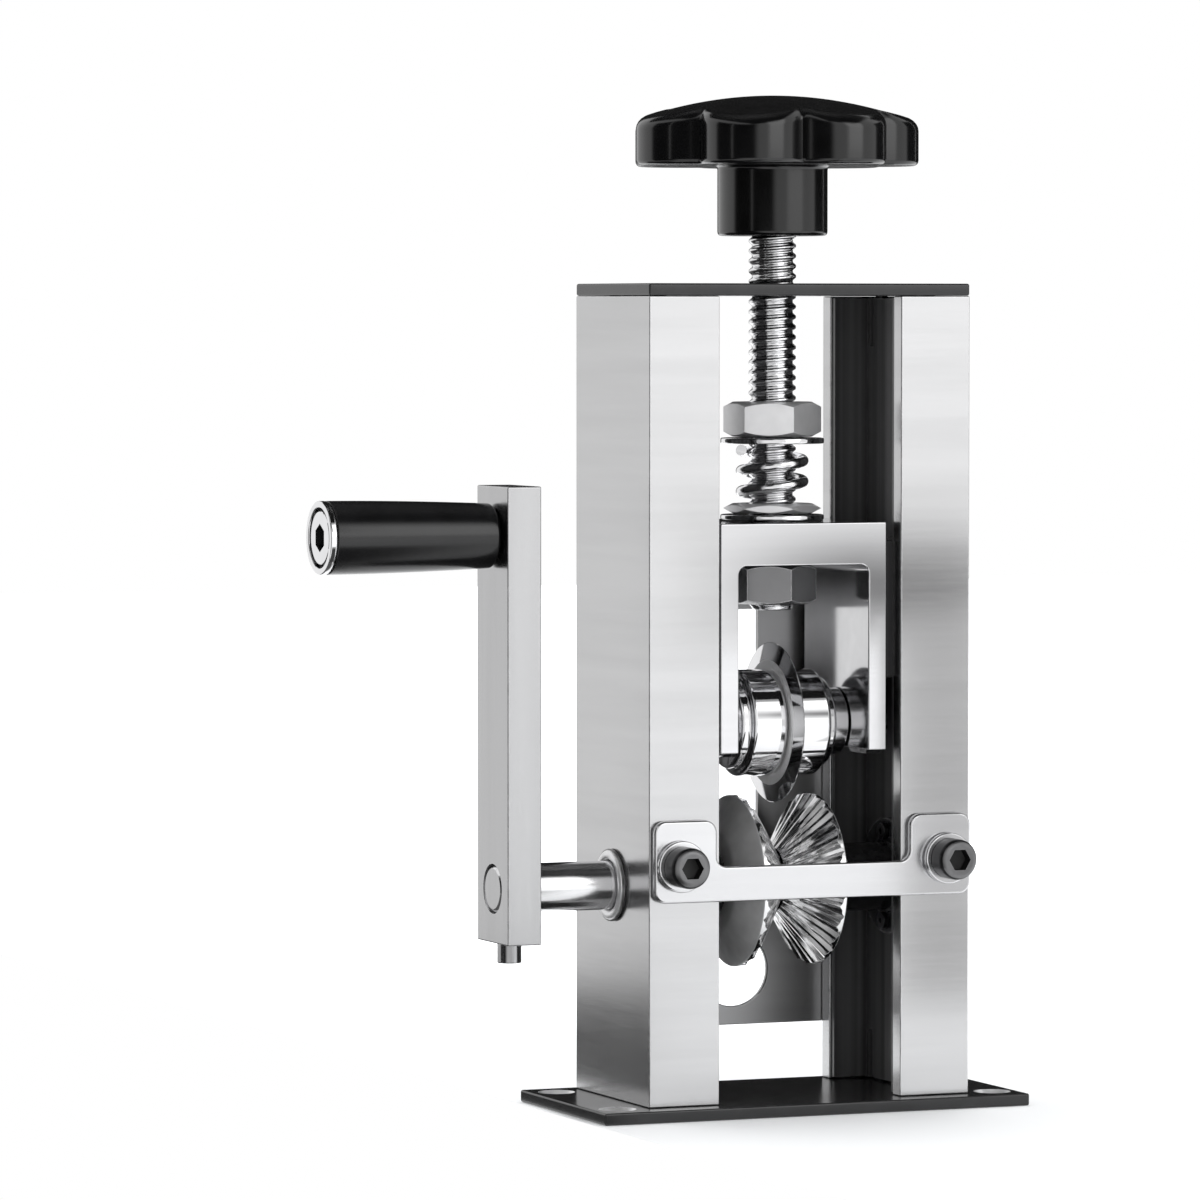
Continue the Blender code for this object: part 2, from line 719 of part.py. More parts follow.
def make_grip():
    end = Vector((-arm_outer - gap - grip_length, 0, grip_height))
    counterbore = grip_bolt_head_radius + gap
    ring = sleeve("grip_end_ring", grip_radius_out - grip_ring_wall, grip_radius_out,
                  end, end + along_x * grip_ring_thickness, "polished steel")
    # the sleeve's profile runs from the ring to the arm, with a pocket for the bolt's head
    length = grip_length - grip_ring_thickness - gap
    pocket = grip_bolt_head_height - grip_ring_thickness + gap
    bore = grip_bolt_radius + gap
    profile = [(grip_radius_out, length), (grip_radius_in, grip_edge), (grip_radius_in - grip_edge, 0),
               (bore, 0),
               (bore, length - pocket), (counterbore, length - pocket), (counterbore, length)]
    handle = turned("grip_sleeve", profile, Vector((-arm_outer - gap, 0, grip_height)), -along_x,
                    "gloss plastic")
    return [ring, handle]


# carriage, blade and rollers
def make_carriage():
    inner = carriage_half_width - carriage_leg
    bar_low = carriage_top - carriage_bar
    half = [(carriage_half_width, carriage_top), (carriage_half_width, carriage_bottom),
            (inner, carriage_bottom)]
    half += arc(inner - carriage_fillet, bar_low - carriage_fillet, carriage_fillet, 0, 90)
    outline = half + [(-x, z) for x, z in reversed(half)]
    block = outlined("carriage", outline, carriage_depth, Vector((0, 0, 0)), along_y, "polished steel")
    block.rotation_mode = "XYZ"
    block.rotation_euler = (math.radians(90), 0, 0)
    round_edges(block, gap)
    drill(block, screw_bore, (0, 0, bar_low - cut_over), (0, 0, carriage_top + cut_over), sides=round_sides)
    reach = carriage_half_width + cut_over
    drill(block, axle_radius + gap, (-reach, 0, blade_height), (reach, 0, blade_height), sides=round_sides)
    shoe_middle = (shoe_bottom + shoe_top) / 2
    drill(block, shoe_screw_radius + gap, (-reach, 0, shoe_middle), (reach, 0, shoe_middle))
    moving = [block]
    for side, word in ((-1, "left"), (1, "right")):
        near = side * (carriage_half_width + gap)
        far = side * (rail_floor - gap)
        half_y = rail_inner_half - gap
        shoe = box(word + "_guide_shoe", (min(near, far), -half_y, shoe_bottom),
                   (max(near, far), half_y, shoe_top), "black rail")
        round_edges(shoe, edge_round)
        head_seat = far - side * (shoe_screw_head_height + 2 * gap)
        drill(shoe, shoe_screw_radius + gap, (near - side * cut_over, 0, shoe_middle),
              (far + side * cut_over, 0, shoe_middle))
        drill(shoe, shoe_screw_head_radius + gap, (head_seat - side * gap, 0, shoe_middle),
              (far + side * cut_over, 0, shoe_middle))
        seat = Vector((head_seat, 0, shoe_middle))
        reach = abs(head_seat) - carriage_half_width + carriage_leg - gap
        screw = headed_screw("shoe_screw_" + word, seat, side * along_x, shoe_screw_head_radius,
                             shoe_screw_head_height, shoe_screw_radius, reach, "dark steel")
        spacer = sleeve(word + "_axle_spacer", axle_radius + gap, axle_spacer_radius,
                        (side * axle_spacer_start, 0, blade_height),
                        (side * axle_spacer_end, 0, blade_height), "satin steel")
        moving += [shoe, screw, spacer]
    return moving + make_axle() + make_spring_seat()


def make_axle():
    hex_radius = axle_hex_across / math.sqrt(3)
    face = carriage_half_width + gap
    left_end = face + axle_head_height
    right_end = face + axle_head_height + axle_end
    axle = rod("blade_axle", axle_radius, (-face - gap, 0, blade_height), (right_end, 0, blade_height),
               "polished steel")
    combine(axle, rod("axle_head", hex_radius, (-left_end, 0, blade_height), (-face, 0, blade_height),
                      sides=hex_sides), "UNION")
    nut = rod("axle_nut", hex_radius, (face, 0, blade_height), (left_end, 0, blade_height),
              "satin steel", hex_sides)
    drill(nut, axle_radius + gap, (face - cut_over, 0, blade_height), (left_end + cut_over, 0, blade_height))
    return [axle, nut]


def make_spring_seat():
    washer_low = carriage_top + gap
    washer_high = washer_low + seat_washer_thickness
    washer = sleeve("seat_washer", screw_bore, pressure_washer_radius, (0, 0, washer_low),
                    (0, 0, washer_high), "polished steel")
    low = washer_high + gap
    seat = rod("spring_seat", nut_across / math.sqrt(3), (0, 0, low), (0, 0, low + seat_height),
               "satin steel", hex_sides, nut_turn)
    drill(seat, screw_bore, (0, 0, low - cut_over), (0, 0, low + seat_height + cut_over), sides=round_sides)
    return [washer, seat]


def make_blade():
    center = Vector((0, 0, blade_height))
    bore = axle_radius + gap
    rim = blade_radius - blade_bevel
    profile = [(rim, blade_half_thickness), (blade_radius, blade_edge_half),
               (blade_radius, -blade_edge_half), (rim, -blade_half_thickness),
               (bore, -blade_half_thickness), (bore, blade_half_thickness)]
    moving = [turned("blade_disc", profile, center, along_x, "polished steel", disc_sides)]
    for side, word in ((-1, "left"), (1, "right")):
        width = roller_width + roller_step_width
        profile = [(roller_step_radius, width), (roller_step_radius, roller_width),
                   (roller_radius - roller_edge, roller_width), (roller_radius, roller_width - roller_edge),
                   (roller_radius, roller_edge), (roller_radius - roller_edge, 0), (bore, 0), (bore, width)]
        start = center + along_x * side * (blade_half_thickness + gap)
        moving.append(turned(word + "_roller", profile, start, side * along_x, "polished steel",
                             roller_sides))
    return moving


# adjusting screw
def make_adjuster():
    screw = rod("lead_screw", screw_radius, (0, 0, screw_bottom), (0, 0, screw_top), "polished steel")
    upper_low = pressure_washer_bottom + pressure_washer_thickness + gap
    lower_high = carriage_top - carriage_bar - gap
    moving = [screw]
    for name, across, low, high in (
            ("pressure_nut", nut_across, upper_low, upper_low + nut_height),
            ("carriage_nut", lower_nut_across, lower_high - lower_nut_height, lower_high)):
        nut = rod(name, across / math.sqrt(3), (0, 0, low), (0, 0, high), "polished steel", hex_sides,
                  nut_turn)
        drill(nut, screw_radius + gap, (0, 0, low - cut_over), (0, 0, high + cut_over), sides=round_sides)
        moving.append(nut)
    return moving + [make_knob()]


def knob_outline():
    # lobes with soft valleys between them
    points = []
    for step in range(knob_points):
        angle = math.tau * step / knob_points
        swell = math.hypot(math.cos(knob_lobes * angle / 2), knob_valley_soft)
        share = min(swell, 1) ** knob_lobe_power
        radius = knob_valley_radius + (knob_radius - knob_valley_radius) * share
        points.append((radius * math.cos(angle), radius * math.sin(angle)))
    return points


def make_knob():
    height = knob_top - knob_bottom
    middle = Vector((0, 0, knob_bottom + height / 2))
    knob = outlined("star_knob", knob_outline(), height, middle, along_z, "gloss plastic", knob_turn)
    # the crown is a shallow dome over the lobes, with a rounded lower edge
    rim_height = knob_rim_top - knob_bottom
    profile = []
    for step in range(dome_steps + 1):
        share = step / dome_steps
        profile.append((knob_radius * share, height - (height - rim_height) * share ** 2))
    reach = knob_radius + knob_edge
    profile += [(reach, rim_height - knob_edge), (reach, knob_edge), (knob_radius - knob_edge, 0), (0, 0)]
    dome = turned("knob_dome", profile, Vector((0, 0, knob_bottom)), along_z, steps=dome_sides,
                  closed=False)
    combine(knob, dome, "INTERSECT")
    hub = rod("knob_hub", knob_hub_radius, (0, 0, knob_hub_bottom), (0, 0, knob_rim_top))
    combine(knob, hub, "UNION")
    drill(knob, screw_radius + gap, (0, 0, knob_hub_bottom - cut_over), (0, 0, screw_top + gap),
          sides=round_sides)
    return knob


# spring and the washer that presses it
def helix_points():
    wire = spring_wire / 2
    seat_top = carriage_top + 2 * gap + seat_washer_thickness + seat_height
    low = seat_top + gap + wire
    high = pressure_washer_bottom - gap - wire
    radius = spring_radius - wire
    turns = (high - low) / spring_pitch
    count = round(turns * spring_points)
    points = []
    for step in range(count + 1):
        angle = spring_phase + math.tau * turns * step / count
        height = low + (high - low) * step / count
        points.append(Vector((radius * math.cos(angle), radius * math.sin(angle), height)))
    return points


def least_gap(points):
    # between turns of the wire, measured from points at least half a turn apart
    least = min((first - second).length
                for index, first in enumerate(points)
                for second in points[index + spring_points // 2:])
    return least - spring_wire


def make_spring():
    points = helix_points()
    curve = bpy.data.curves.new("spring", "CURVE")
    curve.dimensions = "3D"
    curve.bevel_depth = spring_wire / 2
    curve.bevel_resolution = spring_side_steps
    curve.use_fill_caps = True
    spline = curve.splines.new("POLY")
    spline.points.add(len(points) - 1)
    for point, place_at in zip(spline.points, points):
        point.co = (*place_at, 1)
    print("spring: least gap between turns %.2f mm" % (least_gap(points) / mm))
    return curve_to_part("spring", curve, "polished steel")


def make_lift():
    low = pressure_washer_bottom
    washer = sleeve("pressure_washer", screw_bore, pressure_washer_radius, (0, 0, low),
                    (0, 0, low + pressure_washer_thickness), "polished steel")
    return [washer, make_spring()]


make_base_plate()
make_top_plate()
make_plate_screws()
for post_side, post_word in ((-1, "left"), (1, "right")):
    make_post(post_side, post_word)
    make_rail(post_side, post_word)
make_back_plate()
make_front_bar()

crank_axis = joint_empty("crank_axis", (0, 0, drive_height))
grip_axis = joint_empty("grip_axis", (-arm_outer - grip_length / 2, 0, grip_height))
lift_axis = joint_empty("lift_axis", (0, 0, pressure_washer_bottom))
knob_axis = joint_empty("knob_axis", (0, 0, knob_bottom))
carriage_axis = joint_empty("carriage_axis", (0, 0, carriage_top))
blade_axis = joint_empty("blade_axis", (0, 0, blade_height))
carry(crank_axis, make_drive() + make_crank() + [grip_axis])
carry(grip_axis, make_grip())
carry(lift_axis, make_lift() + [knob_axis, carriage_axis])
carry(knob_axis, make_adjuster())
carry(carriage_axis, make_carriage() + [blade_axis])
carry(blade_axis, make_blade())
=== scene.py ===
import math
from functools import partial

import bmesh
import bpy
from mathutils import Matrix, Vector


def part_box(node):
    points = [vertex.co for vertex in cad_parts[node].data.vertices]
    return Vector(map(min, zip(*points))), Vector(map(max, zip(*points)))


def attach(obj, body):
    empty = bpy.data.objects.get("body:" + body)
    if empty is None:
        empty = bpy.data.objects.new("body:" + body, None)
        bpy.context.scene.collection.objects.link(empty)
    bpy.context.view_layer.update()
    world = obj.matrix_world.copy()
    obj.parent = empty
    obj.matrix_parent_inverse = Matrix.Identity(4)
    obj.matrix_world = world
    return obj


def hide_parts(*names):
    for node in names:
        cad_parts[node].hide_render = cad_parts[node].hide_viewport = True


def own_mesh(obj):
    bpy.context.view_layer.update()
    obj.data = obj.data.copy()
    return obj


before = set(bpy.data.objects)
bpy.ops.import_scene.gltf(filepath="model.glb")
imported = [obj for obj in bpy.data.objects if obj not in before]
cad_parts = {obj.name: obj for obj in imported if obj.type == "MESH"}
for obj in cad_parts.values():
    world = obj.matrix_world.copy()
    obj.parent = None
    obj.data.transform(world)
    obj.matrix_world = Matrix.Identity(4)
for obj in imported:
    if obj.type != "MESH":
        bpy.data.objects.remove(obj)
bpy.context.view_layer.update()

mm = 0.001
full = math.tau
clearance = 0.3 * mm  # round a shaft or a bolt
over = 1 * mm  # how far a hole's cutter reaches past the plate
weld = 0.002 * mm  # points nearer than this become one
socketReach = 1.16  # a hexagon socket's corners, in half widths across its flats
crownShare = 0.94  # of a hexagon's width, that its turned ends have
holeSides, plainSides, fineSides = 48, 64, 96
sideWords = {"left": -1, "right": 1}
cornerWords = ("left_front", "left_rear", "right_front", "right_rear")
print("frame loaded:", len(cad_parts), "nodes")


def inMm(**sizes):
    # settings given in millimetres
    return {name: size * mm for name, size in sizes.items()}


# node trees
def feed(tree, socket, value):
    # links an input to another node's output, or sets its value
    if isinstance(value, bpy.types.NodeSocket):
        tree.links.new(value, socket)
    else:
        socket.default_value = value


def addNode(tree, kind, inputs=None, **settings):
    # a node with its settings, and its inputs by name or place
    node = tree.nodes.new(kind)
    for key, value in settings.items():
        setattr(node, key, value)
    for key, value in (inputs or {}).items():
        feed(tree, node.inputs[key], value)
    return node


def mathNode(tree, operation, *values):
    return addNode(tree, "ShaderNodeMath", dict(enumerate(values)), operation=operation).outputs[0]


def vectorNode(tree, operation, *values):
    return addNode(tree, "ShaderNodeVectorMath", dict(enumerate(values)), operation=operation).outputs


def rangeNode(tree, value, low, high, toLow=0.0, toHigh=1.0, **settings):
    return addNode(tree, "ShaderNodeMapRange", {
        "Value": value, "From Min": low, "From Max": high, "To Min": toLow, "To Max": toHigh},
        **settings).outputs[0]


def noiseNode(tree, vector, scale, detail, roughness=0.5, distortion=0.0):
    return addNode(tree, "ShaderNodeTexNoise", {
        "Vector": vector, "Scale": scale, "Detail": detail, "Roughness": roughness,
        "Distortion": distortion}).outputs["Fac"]


def polarNode(tree, radius, angle, height):
    # a point at a radius and an angle round Z
    x, y = (mathNode(tree, "MULTIPLY", radius, mathNode(tree, turn, angle)) for turn in ("COSINE", "SINE"))
    return addNode(tree, "ShaderNodeCombineXYZ", {0: x, 1: y, 2: height}).outputs[0]


def newGroup(name, kind, inputs, outputs):
    # a node group, with the names of its sockets by their kind
    tree = bpy.data.node_groups.new(name, kind)
    for direction, sockets in (("INPUT", inputs), ("OUTPUT", outputs)):
        for socketKind, labels in sockets.items():
            for label in labels.split():
                tree.interface.new_socket(label, in_out=direction, socket_type="NodeSocket" + socketKind)
    entry, leave = tree.nodes.new("NodeGroupInput"), tree.nodes.new("NodeGroupOutput")
    return tree, entry.outputs, leave.inputs


# shader groups that several finishes use, and the ranges, noises and amounts they run on
effects = {
    "slowShare": 0.13, "fineNoise": (3.0, 0.7), "slowNoise": (2.0, 0.55), "cornerRange": (0.995, 0.86),
    "wearNoise": (260.0, 3.0), "wearRange": (0.38, 0.6, 0.25), "smudgeNoise": (4.0, 0.6, 0.6),
    "leastRoughness": 0.02, "upRange": (0.3, 1.0), "dustNoise": (420.0, 5.0, 0.7),
    "dustRange": (0.42, 0.72, 0.2), "dustColour": (0.45, 0.44, 0.42, 1), "dustRoughness": 0.5,
    "metalTones": (0.3, 0.7), "wornRoughness": 0.35, "coatTones": (0.35, 0.65), "coatRoughness": 0.06}


def brushGroup():
    # fine scratches drawn out along one axis, and slow changes of tone
    tree, given, out = newGroup("brushLines", "ShaderNodeTree", {
        "Vector": "Vector Stretch", "Float": "Scale"}, {"Float": "Height Tone"})
    drawn = vectorNode(tree, "MULTIPLY", given["Vector"], given["Stretch"])[0]
    slow = mathNode(tree, "MULTIPLY", given["Scale"], effects["slowShare"])
    feed(tree, out["Height"], noiseNode(tree, drawn, given["Scale"], *effects["fineNoise"]))
    feed(tree, out["Tone"], noiseNode(tree, drawn, slow, *effects["slowNoise"]))
    return tree


def wearGroup():
    # a mask that is 1 on outer corners, broken up by noise; it lays worn corners and painted highlights on
    # corners
    tree, given, out = newGroup("edgeWearAndHighlight", "ShaderNodeTree", {
        "Vector": "Vector", "Float": "Width Amount"}, {"Float": "Mask"})
    soft = addNode(tree, "ShaderNodeBevel", {"Radius": given["Width"]}, samples=4)
    normal = addNode(tree, "ShaderNodeNewGeometry").outputs["Normal"]
    turned = vectorNode(tree, "DOT_PRODUCT", soft.outputs[0], normal)["Value"]
    edge = rangeNode(tree, turned, *effects["cornerRange"])
    patches = noiseNode(tree, given["Vector"], *effects["wearNoise"])
    broken = rangeNode(tree, patches, *effects["wearRange"])
    mask = mathNode(tree, "MULTIPLY", edge, broken)
    feed(tree, out["Mask"], mathNode(tree, "MULTIPLY", mask, given["Amount"]))
    return tree


def smudgeGroup():
    # faint fingerprints and oil that change the gloss
    tree, given, out = newGroup("smudges", "ShaderNodeTree", {
        "Vector": "Vector", "Float": "Scale Roughness Spread"}, {"Float": "Roughness"})
    cloud = noiseNode(tree, given["Vector"], given["Scale"], *effects["smudgeNoise"])
    centred = mathNode(tree, "SUBTRACT", cloud, 0.5)
    moved = mathNode(tree, "MULTIPLY_ADD", centred, given["Spread"], given["Roughness"])
    feed(tree, out["Roughness"], mathNode(tree, "MAXIMUM", moved, effects["leastRoughness"]))
    return tree


def dustGroup():
    # dust on what faces up
    tree, given, out = newGroup("dust", "ShaderNodeTree", {
        "Vector": "Vector", "Float": "Amount"}, {"Float": "Mask"})
    normal = addNode(tree, "ShaderNodeNewGeometry").outputs["Normal"]
    level = addNode(tree, "ShaderNodeSeparateXYZ", {0: normal}).outputs["Z"]
    specks = noiseNode(tree, given["Vector"], *effects["dustNoise"])
    gathered = rangeNode(tree, specks, *effects["dustRange"])
    mask = mathNode(tree, "MULTIPLY", rangeNode(tree, level, *effects["upRange"]), gathered)
    feed(tree, out["Mask"], mathNode(tree, "MULTIPLY", mask, given["Amount"]))
    return tree


brushLines, edgeWearAndHighlight, smudges, dust = brushGroup(), wearGroup(), smudgeGroup(), dustGroup()


# finishes
def useGroup(tree, group, **given):
    return addNode(tree, "ShaderNodeGroup", given, node_tree=group).outputs


def mixColour(tree, factor, first, second, **settings):
    # 0, 6, 7 and 2 are the colour sockets of this node
    return addNode(tree, "ShaderNodeMix", {0: factor, 6: first, 7: second}, data_type="RGBA",
                   **settings).outputs[2]


def shade(colour, times=1.0):
    return (*(part * times for part in colour), 1.0)


def newFinish(name, look):
    # a material with what both kinds of finish share: grain, lighter corners (worn, and painted highlight
    # in some finishes), gloss and fine relief
    material = bpy.data.materials.new(name)
    material.use_nodes = True
    tree = material.node_tree
    use = partial(useGroup, tree, Vector=addNode(tree, "ShaderNodeTexCoord").outputs["Object"])
    grain = use(brushLines, Stretch=look["stretch"], Scale=look["scale"])
    wear = use(edgeWearAndHighlight, Width=look["edge"], Amount=look["wear"])["Mask"]
    gloss = use(smudges, Scale=look["smudge"], Roughness=look["roughness"], Spread=look["spread"])[0]
    settled = use(dust, Amount=look["dust"])["Mask"] if "dust" in look else None
    bump = addNode(tree, "ShaderNodeBump", {
        "Strength": look["bump"], "Distance": look["relief"], "Height": grain["Height"]})
    shader = tree.nodes["Principled BSDF"].inputs
    feed(tree, shader["Normal"], bump.outputs[0])
    return material, tree, shader, {"grain": grain, "wear": wear, "gloss": gloss, "dust": settled}


def metalFinish(name, look):
    # brushed or polished metal with bright corners: worn bare metal, and painted highlight in the carriage
    # nut's finish
    material, tree, shader, parts = newFinish(name, look)
    low, high = effects["metalTones"]
    tone = rangeNode(tree, parts["grain"]["Tone"], low, high, 1 - look["tone"], 1 + look["tone"])
    base = mixColour(tree, tone, shade(look["colour"], 0.0), shade(look["colour"]), clamp_factor=False)
    feed(tree, shader["Base Color"], mixColour(tree, parts["wear"], base, shade(look["bare"])))
    fine = mathNode(tree, "MULTIPLY_ADD", parts["grain"]["Height"], look["grain"], parts["gloss"])
    feed(tree, shader["Roughness"],
         mathNode(tree, "MULTIPLY_ADD", parts["wear"], effects["wornRoughness"], fine))
    shader["Metallic"].default_value = look["metallic"]
    return material


def coatedFinish(name, look):
    # paint, anodising or moulded plastic: a dark coat with a fine skin, dust and lighter corners, rubbed
    # through in most finishes and painted highlight in the black bearing finish
    material, tree, shader, parts = newFinish(name, look)
    dark, light = (shade(look["colour"], 1 + sign * look["tone"]) for sign in (-1, 1))
    base = mixColour(tree, rangeNode(tree, parts["grain"]["Tone"], *effects["coatTones"]), dark, light)
    rubbedAndLit = mixColour(tree, parts["wear"], base, shade(look["bare"]))
    feed(tree, shader["Base Color"], mixColour(tree, parts["dust"], rubbedAndLit, effects["dustColour"]))
    feed(tree, shader["Roughness"],
         mathNode(tree, "MULTIPLY_ADD", parts["dust"], effects["dustRoughness"], parts["gloss"]))
    shader["IOR"].default_value = look["ior"]
    shader["Coat Weight"].default_value = look["coat"]
    shader["Coat Roughness"].default_value = effects["coatRoughness"]
    return material


looks = {}


def finish(make, name, base=None, **changes):
    # a finish with settings of its own, or those of another finish with changes
    looks[name] = {**looks.get(base, {}), **changes}
    return make(name, looks[name])


metal, coated = partial(finish, metalFinish), partial(finish, coatedFinish)
postMetal = metal("brushedPost", colour=(0.505, 0.505, 0.51), bare=(0.85, 0.85, 0.86), roughness=0.17,
                  grain=0.08, spread=0.04, smudge=38, tone=0.04, stretch=(0.05, 0.05, 1), scale=1300,
                  bump=0.15, relief=0.02 * mm, edge=0.6 * mm, wear=0.8, metallic=1.0)
barMetal = metal("brushedBar", "brushedPost", colour=(0.6, 0.6, 0.61), stretch=(0.05, 1, 1))
armMetal = metal("brushedArm", "brushedPost", colour=(0.43, 0.43, 0.435), stretch=(1, 1, 0.05))
backMetal = metal("brushedBack", "brushedPost", colour=(0.36, 0.36, 0.365), stretch=(0.05, 1, 1),
                  roughness=0.32)
carriageMetal = metal("polishedCarriage", "brushedBar", roughness=0.08, grain=0.06, tone=0.03, bump=0.06,
                      spread=0.05)
chrome = metal("chrome", colour=(0.76, 0.76, 0.77), bare=(0.95, 0.95, 0.96), roughness=0.045, grain=0.05,
               spread=0.04, smudge=120, tone=0.03, stretch=(1, 1, 1), scale=1500, bump=0.03,
               relief=0.02 * mm, edge=0.4 * mm, wear=0.5, metallic=1.0)
nutSteel = metal("nutSteel", "chrome", colour=(0.82, 0.82, 0.83), roughness=0.3, bump=0.06, tone=0.05,
                 wear=0.8, metallic=0.7)
# painted shade and painted highlight: a darker copy of nutSteel for the nut inside the carriage's window,
# with light corners
shadedLowerNutSteel = metal("shadedLowerNutSteel", "nutSteel", colour=(0.22, 0.22, 0.225), bare=(0.9, 0.9, 0.91),
                      roughness=0.2, wear=0.9)
threadSteel = metal("threadSteel", "chrome", roughness=0.14)
wheelSteel = metal("wheelSteel", "chrome", colour=(0.8, 0.8, 0.805), roughness=0.1, bump=0.06, tone=0.06,
                   wear=0.7)
wheelSideSteel = metal("wheelSideSteel", "chrome", colour=(0.8, 0.8, 0.805), roughness=0.35, grain=0.1,
                       bump=0.1, tone=0.08, metallic=0.5)
bladeSteel = metal("bladeSteel", "chrome", colour=(0.88, 0.88, 0.885), roughness=0.3, bump=0.08, tone=0.05,
                   metallic=0.55)
zinc = metal("zincSteel", "chrome", colour=(0.6, 0.6, 0.61), roughness=0.16, smudge=90, tone=0.06,
             bump=0.08)
setScrewSteel = metal("setScrewSteel", "zincSteel", colour=(0.35, 0.35, 0.355), roughness=0.14)
darkSteel = metal("darkSteel", "chrome", colour=(0.055, 0.055, 0.057), bare=(0.3, 0.3, 0.31),
                  roughness=0.33, spread=0.1, tone=0.12, bump=0.15)
# painted light: a lighter copy of darkSteel for the front faces of the screw heads
litHeadFaceSteel = metal("litHeadFaceSteel", "darkSteel", colour=(0.17, 0.17, 0.173))
platePaint = coated("plateBlack", colour=(0.01, 0.01, 0.011), bare=(0.2, 0.2, 0.2), roughness=0.2,
                    spread=0.1, smudge=55, stretch=(1, 1, 1), scale=1700, bump=0.2, relief=0.03 * mm,
                    edge=0.6 * mm, tone=0.25, wear=0.45, dust=0.05, ior=1.5, coat=0.0)
railBlack = coated("railBlack", "plateBlack", colour=(0.075, 0.075, 0.077), roughness=0.3,
                   stretch=(1, 1, 0.004), scale=2500, bump=0.8, wear=0.5, dust=0.03, tone=0.5)
# painted highlight: this black coat's light corner colour, laid on most corners, stands for the light lines
# on the bearing, the bush's rim and the shaft spacers
bearingBlack = coated("bearingBlack", "plateBlack", colour=(0.012, 0.012, 0.013), bare=(0.5, 0.5, 0.5),
                      roughness=0.16, edge=0.8 * mm, wear=0.9)
# painted shade: near-black for the insides of hexagon sockets
socketShadeBlack = coated("socketShadeBlack", "plateBlack", colour=(0.004, 0.004, 0.004), roughness=0.5, wear=0.0,
                     dust=0.0)
plastic = coated("glossPlastic", "plateBlack", colour=(0.003, 0.003, 0.0033), bare=(0.02, 0.02, 0.02),
                 roughness=0.17, spread=0.06, scale=1100, bump=0.06, wear=0.3, dust=0.01, coat=0.15)
gripPlastic = coated("gripPlastic", "plateBlack", colour=(0.0045, 0.0045, 0.005), bare=(0.03, 0.03, 0.03),
                     roughness=0.22, spread=0.05, scale=1100, bump=0.08, wear=0.3, dust=0.0)
print("finishes made:", len(looks))


# mesh making
def addPiece(name, mesh, material):
    piece = bpy.data.objects.new(name, mesh)
    bpy.context.scene.collection.objects.link(piece)
    mesh.materials.clear()
    mesh.materials.append(material)
    return piece


def settle(piece):
    # replaces a piece's mesh with what its modifiers make of it
    graph = bpy.context.evaluated_depsgraph_get()
    graph.update()
    mesh = bpy.data.meshes.new_from_object(piece.evaluated_get(graph))
    piece.modifiers.clear()
    piece.data = mesh
    return piece


def finishMesh(piece, angle=36):
    # smooth shading with sharp corners, and flat faces that stay flat
    for face in piece.data.polygons:
        face.use_smooth = True
    piece.data.set_sharp_from_angle(angle=math.radians(angle))
    weighted = piece.modifiers.new("weighted", "WEIGHTED_NORMAL")
    weighted.keep_sharp = True
    return settle(piece)


def cutOut(piece, cutters):
    for cutter in cutters:
        cut = piece.modifiers.new("cut", "BOOLEAN")
        cut.operation, cut.solver, cut.object = "DIFFERENCE", "EXACT", cutter
    settle(piece)
    for cutter in cutters:
        bpy.data.objects.remove(cutter, do_unlink=True)
    return finishMesh(piece)


def meshOf(bm, name):
    bmesh.ops.remove_doubles(bm, verts=bm.verts, dist=weld)
    bmesh.ops.recalc_face_normals(bm, faces=bm.faces)
    mesh = bpy.data.meshes.new(name)
    bm.to_mesh(mesh)
    bm.free()
    return mesh


def soften(profile, radius, steps=3, closed=False, most=0.45):
    # rounds the corners of a profile, by at most a share of the sides that meet there
    points = []
    for index, corner in enumerate(profile):
        if not closed and index in (0, len(profile) - 1):
            points.append(corner)
            continue
        here, ends = Vector(corner), []
        for near in (profile[index - 1], profile[(index + 1) % len(profile)]):
            ends.append(Vector(near) - here)
        reach = min(radius, *(way.length * most for way in ends))
        start, end = (here + way.normalized() * reach for way in ends)
        for step in range(steps + 1):
            share = step / steps
            point = start * (1 - share) ** 2 + here * 2 * share * (1 - share) + end * share ** 2
            points.append((point.x, point.y))
    return points


def acrossAxes(axis):
    helper = Vector((0, 0, 1)) if abs(axis.z) < 0.9 else Vector((0, 1, 0))
    first = helper.cross(axis).normalized()
    return first, axis.cross(first).normalized()


def lofted(name, rings, start, axis, sides, material, closed=False, turn=0.0, mark=None):
    # rings round an axis; a ring is (radius, along) or a function of the angle that gives both
    start, axis = Vector(start), Vector(axis)
    first, second = acrossAxes(axis)
    bm = bmesh.new()
    layer = bm.verts.layers.float.new(mark[0]) if mark else None
    loops = []
    for number, ring in enumerate(rings):
        loop = []
        for step in range(sides):
            angle = full * step / sides
            radius, along = ring(angle) if callable(ring) else ring
            world = first * math.cos(angle + turn) + second * math.sin(angle + turn)
            vertex = bm.verts.new(start + axis * along + world * radius)
            if mark:
                vertex[layer] = mark[1][number]
            loop.append(vertex)
            if not callable(ring) and ring[0] == 0:
                break
        loops.append(loop)
    for loop, following in zip(loops, loops[1:] + (loops[:1] if closed else [])):
        for step in range(sides):
            ahead = (step + 1) % sides
            if len(loop) == 1 and len(following) > 1:
                bm.faces.new((loop[0], following[ahead], following[step]))
            elif len(following) == 1 and len(loop) > 1:
                bm.faces.new((loop[step], loop[ahead], following[0]))
            elif len(loop) > 1:
                bm.faces.new((loop[step], loop[ahead], following[ahead], following[step]))
    return addPiece(name, meshOf(bm, name), material)


def turnedPiece(name, profile, start, axis, material, sides, radius, closed=False):
    rounded = soften(profile, radius, closed=closed)
    return finishMesh(lofted(name, rounded, start, axis, sides, material, closed))


planes = {"x": (1, 2, 0), "y": (0, 2, 1), "z": (0, 1, 2)}  # places across, up and along an axis


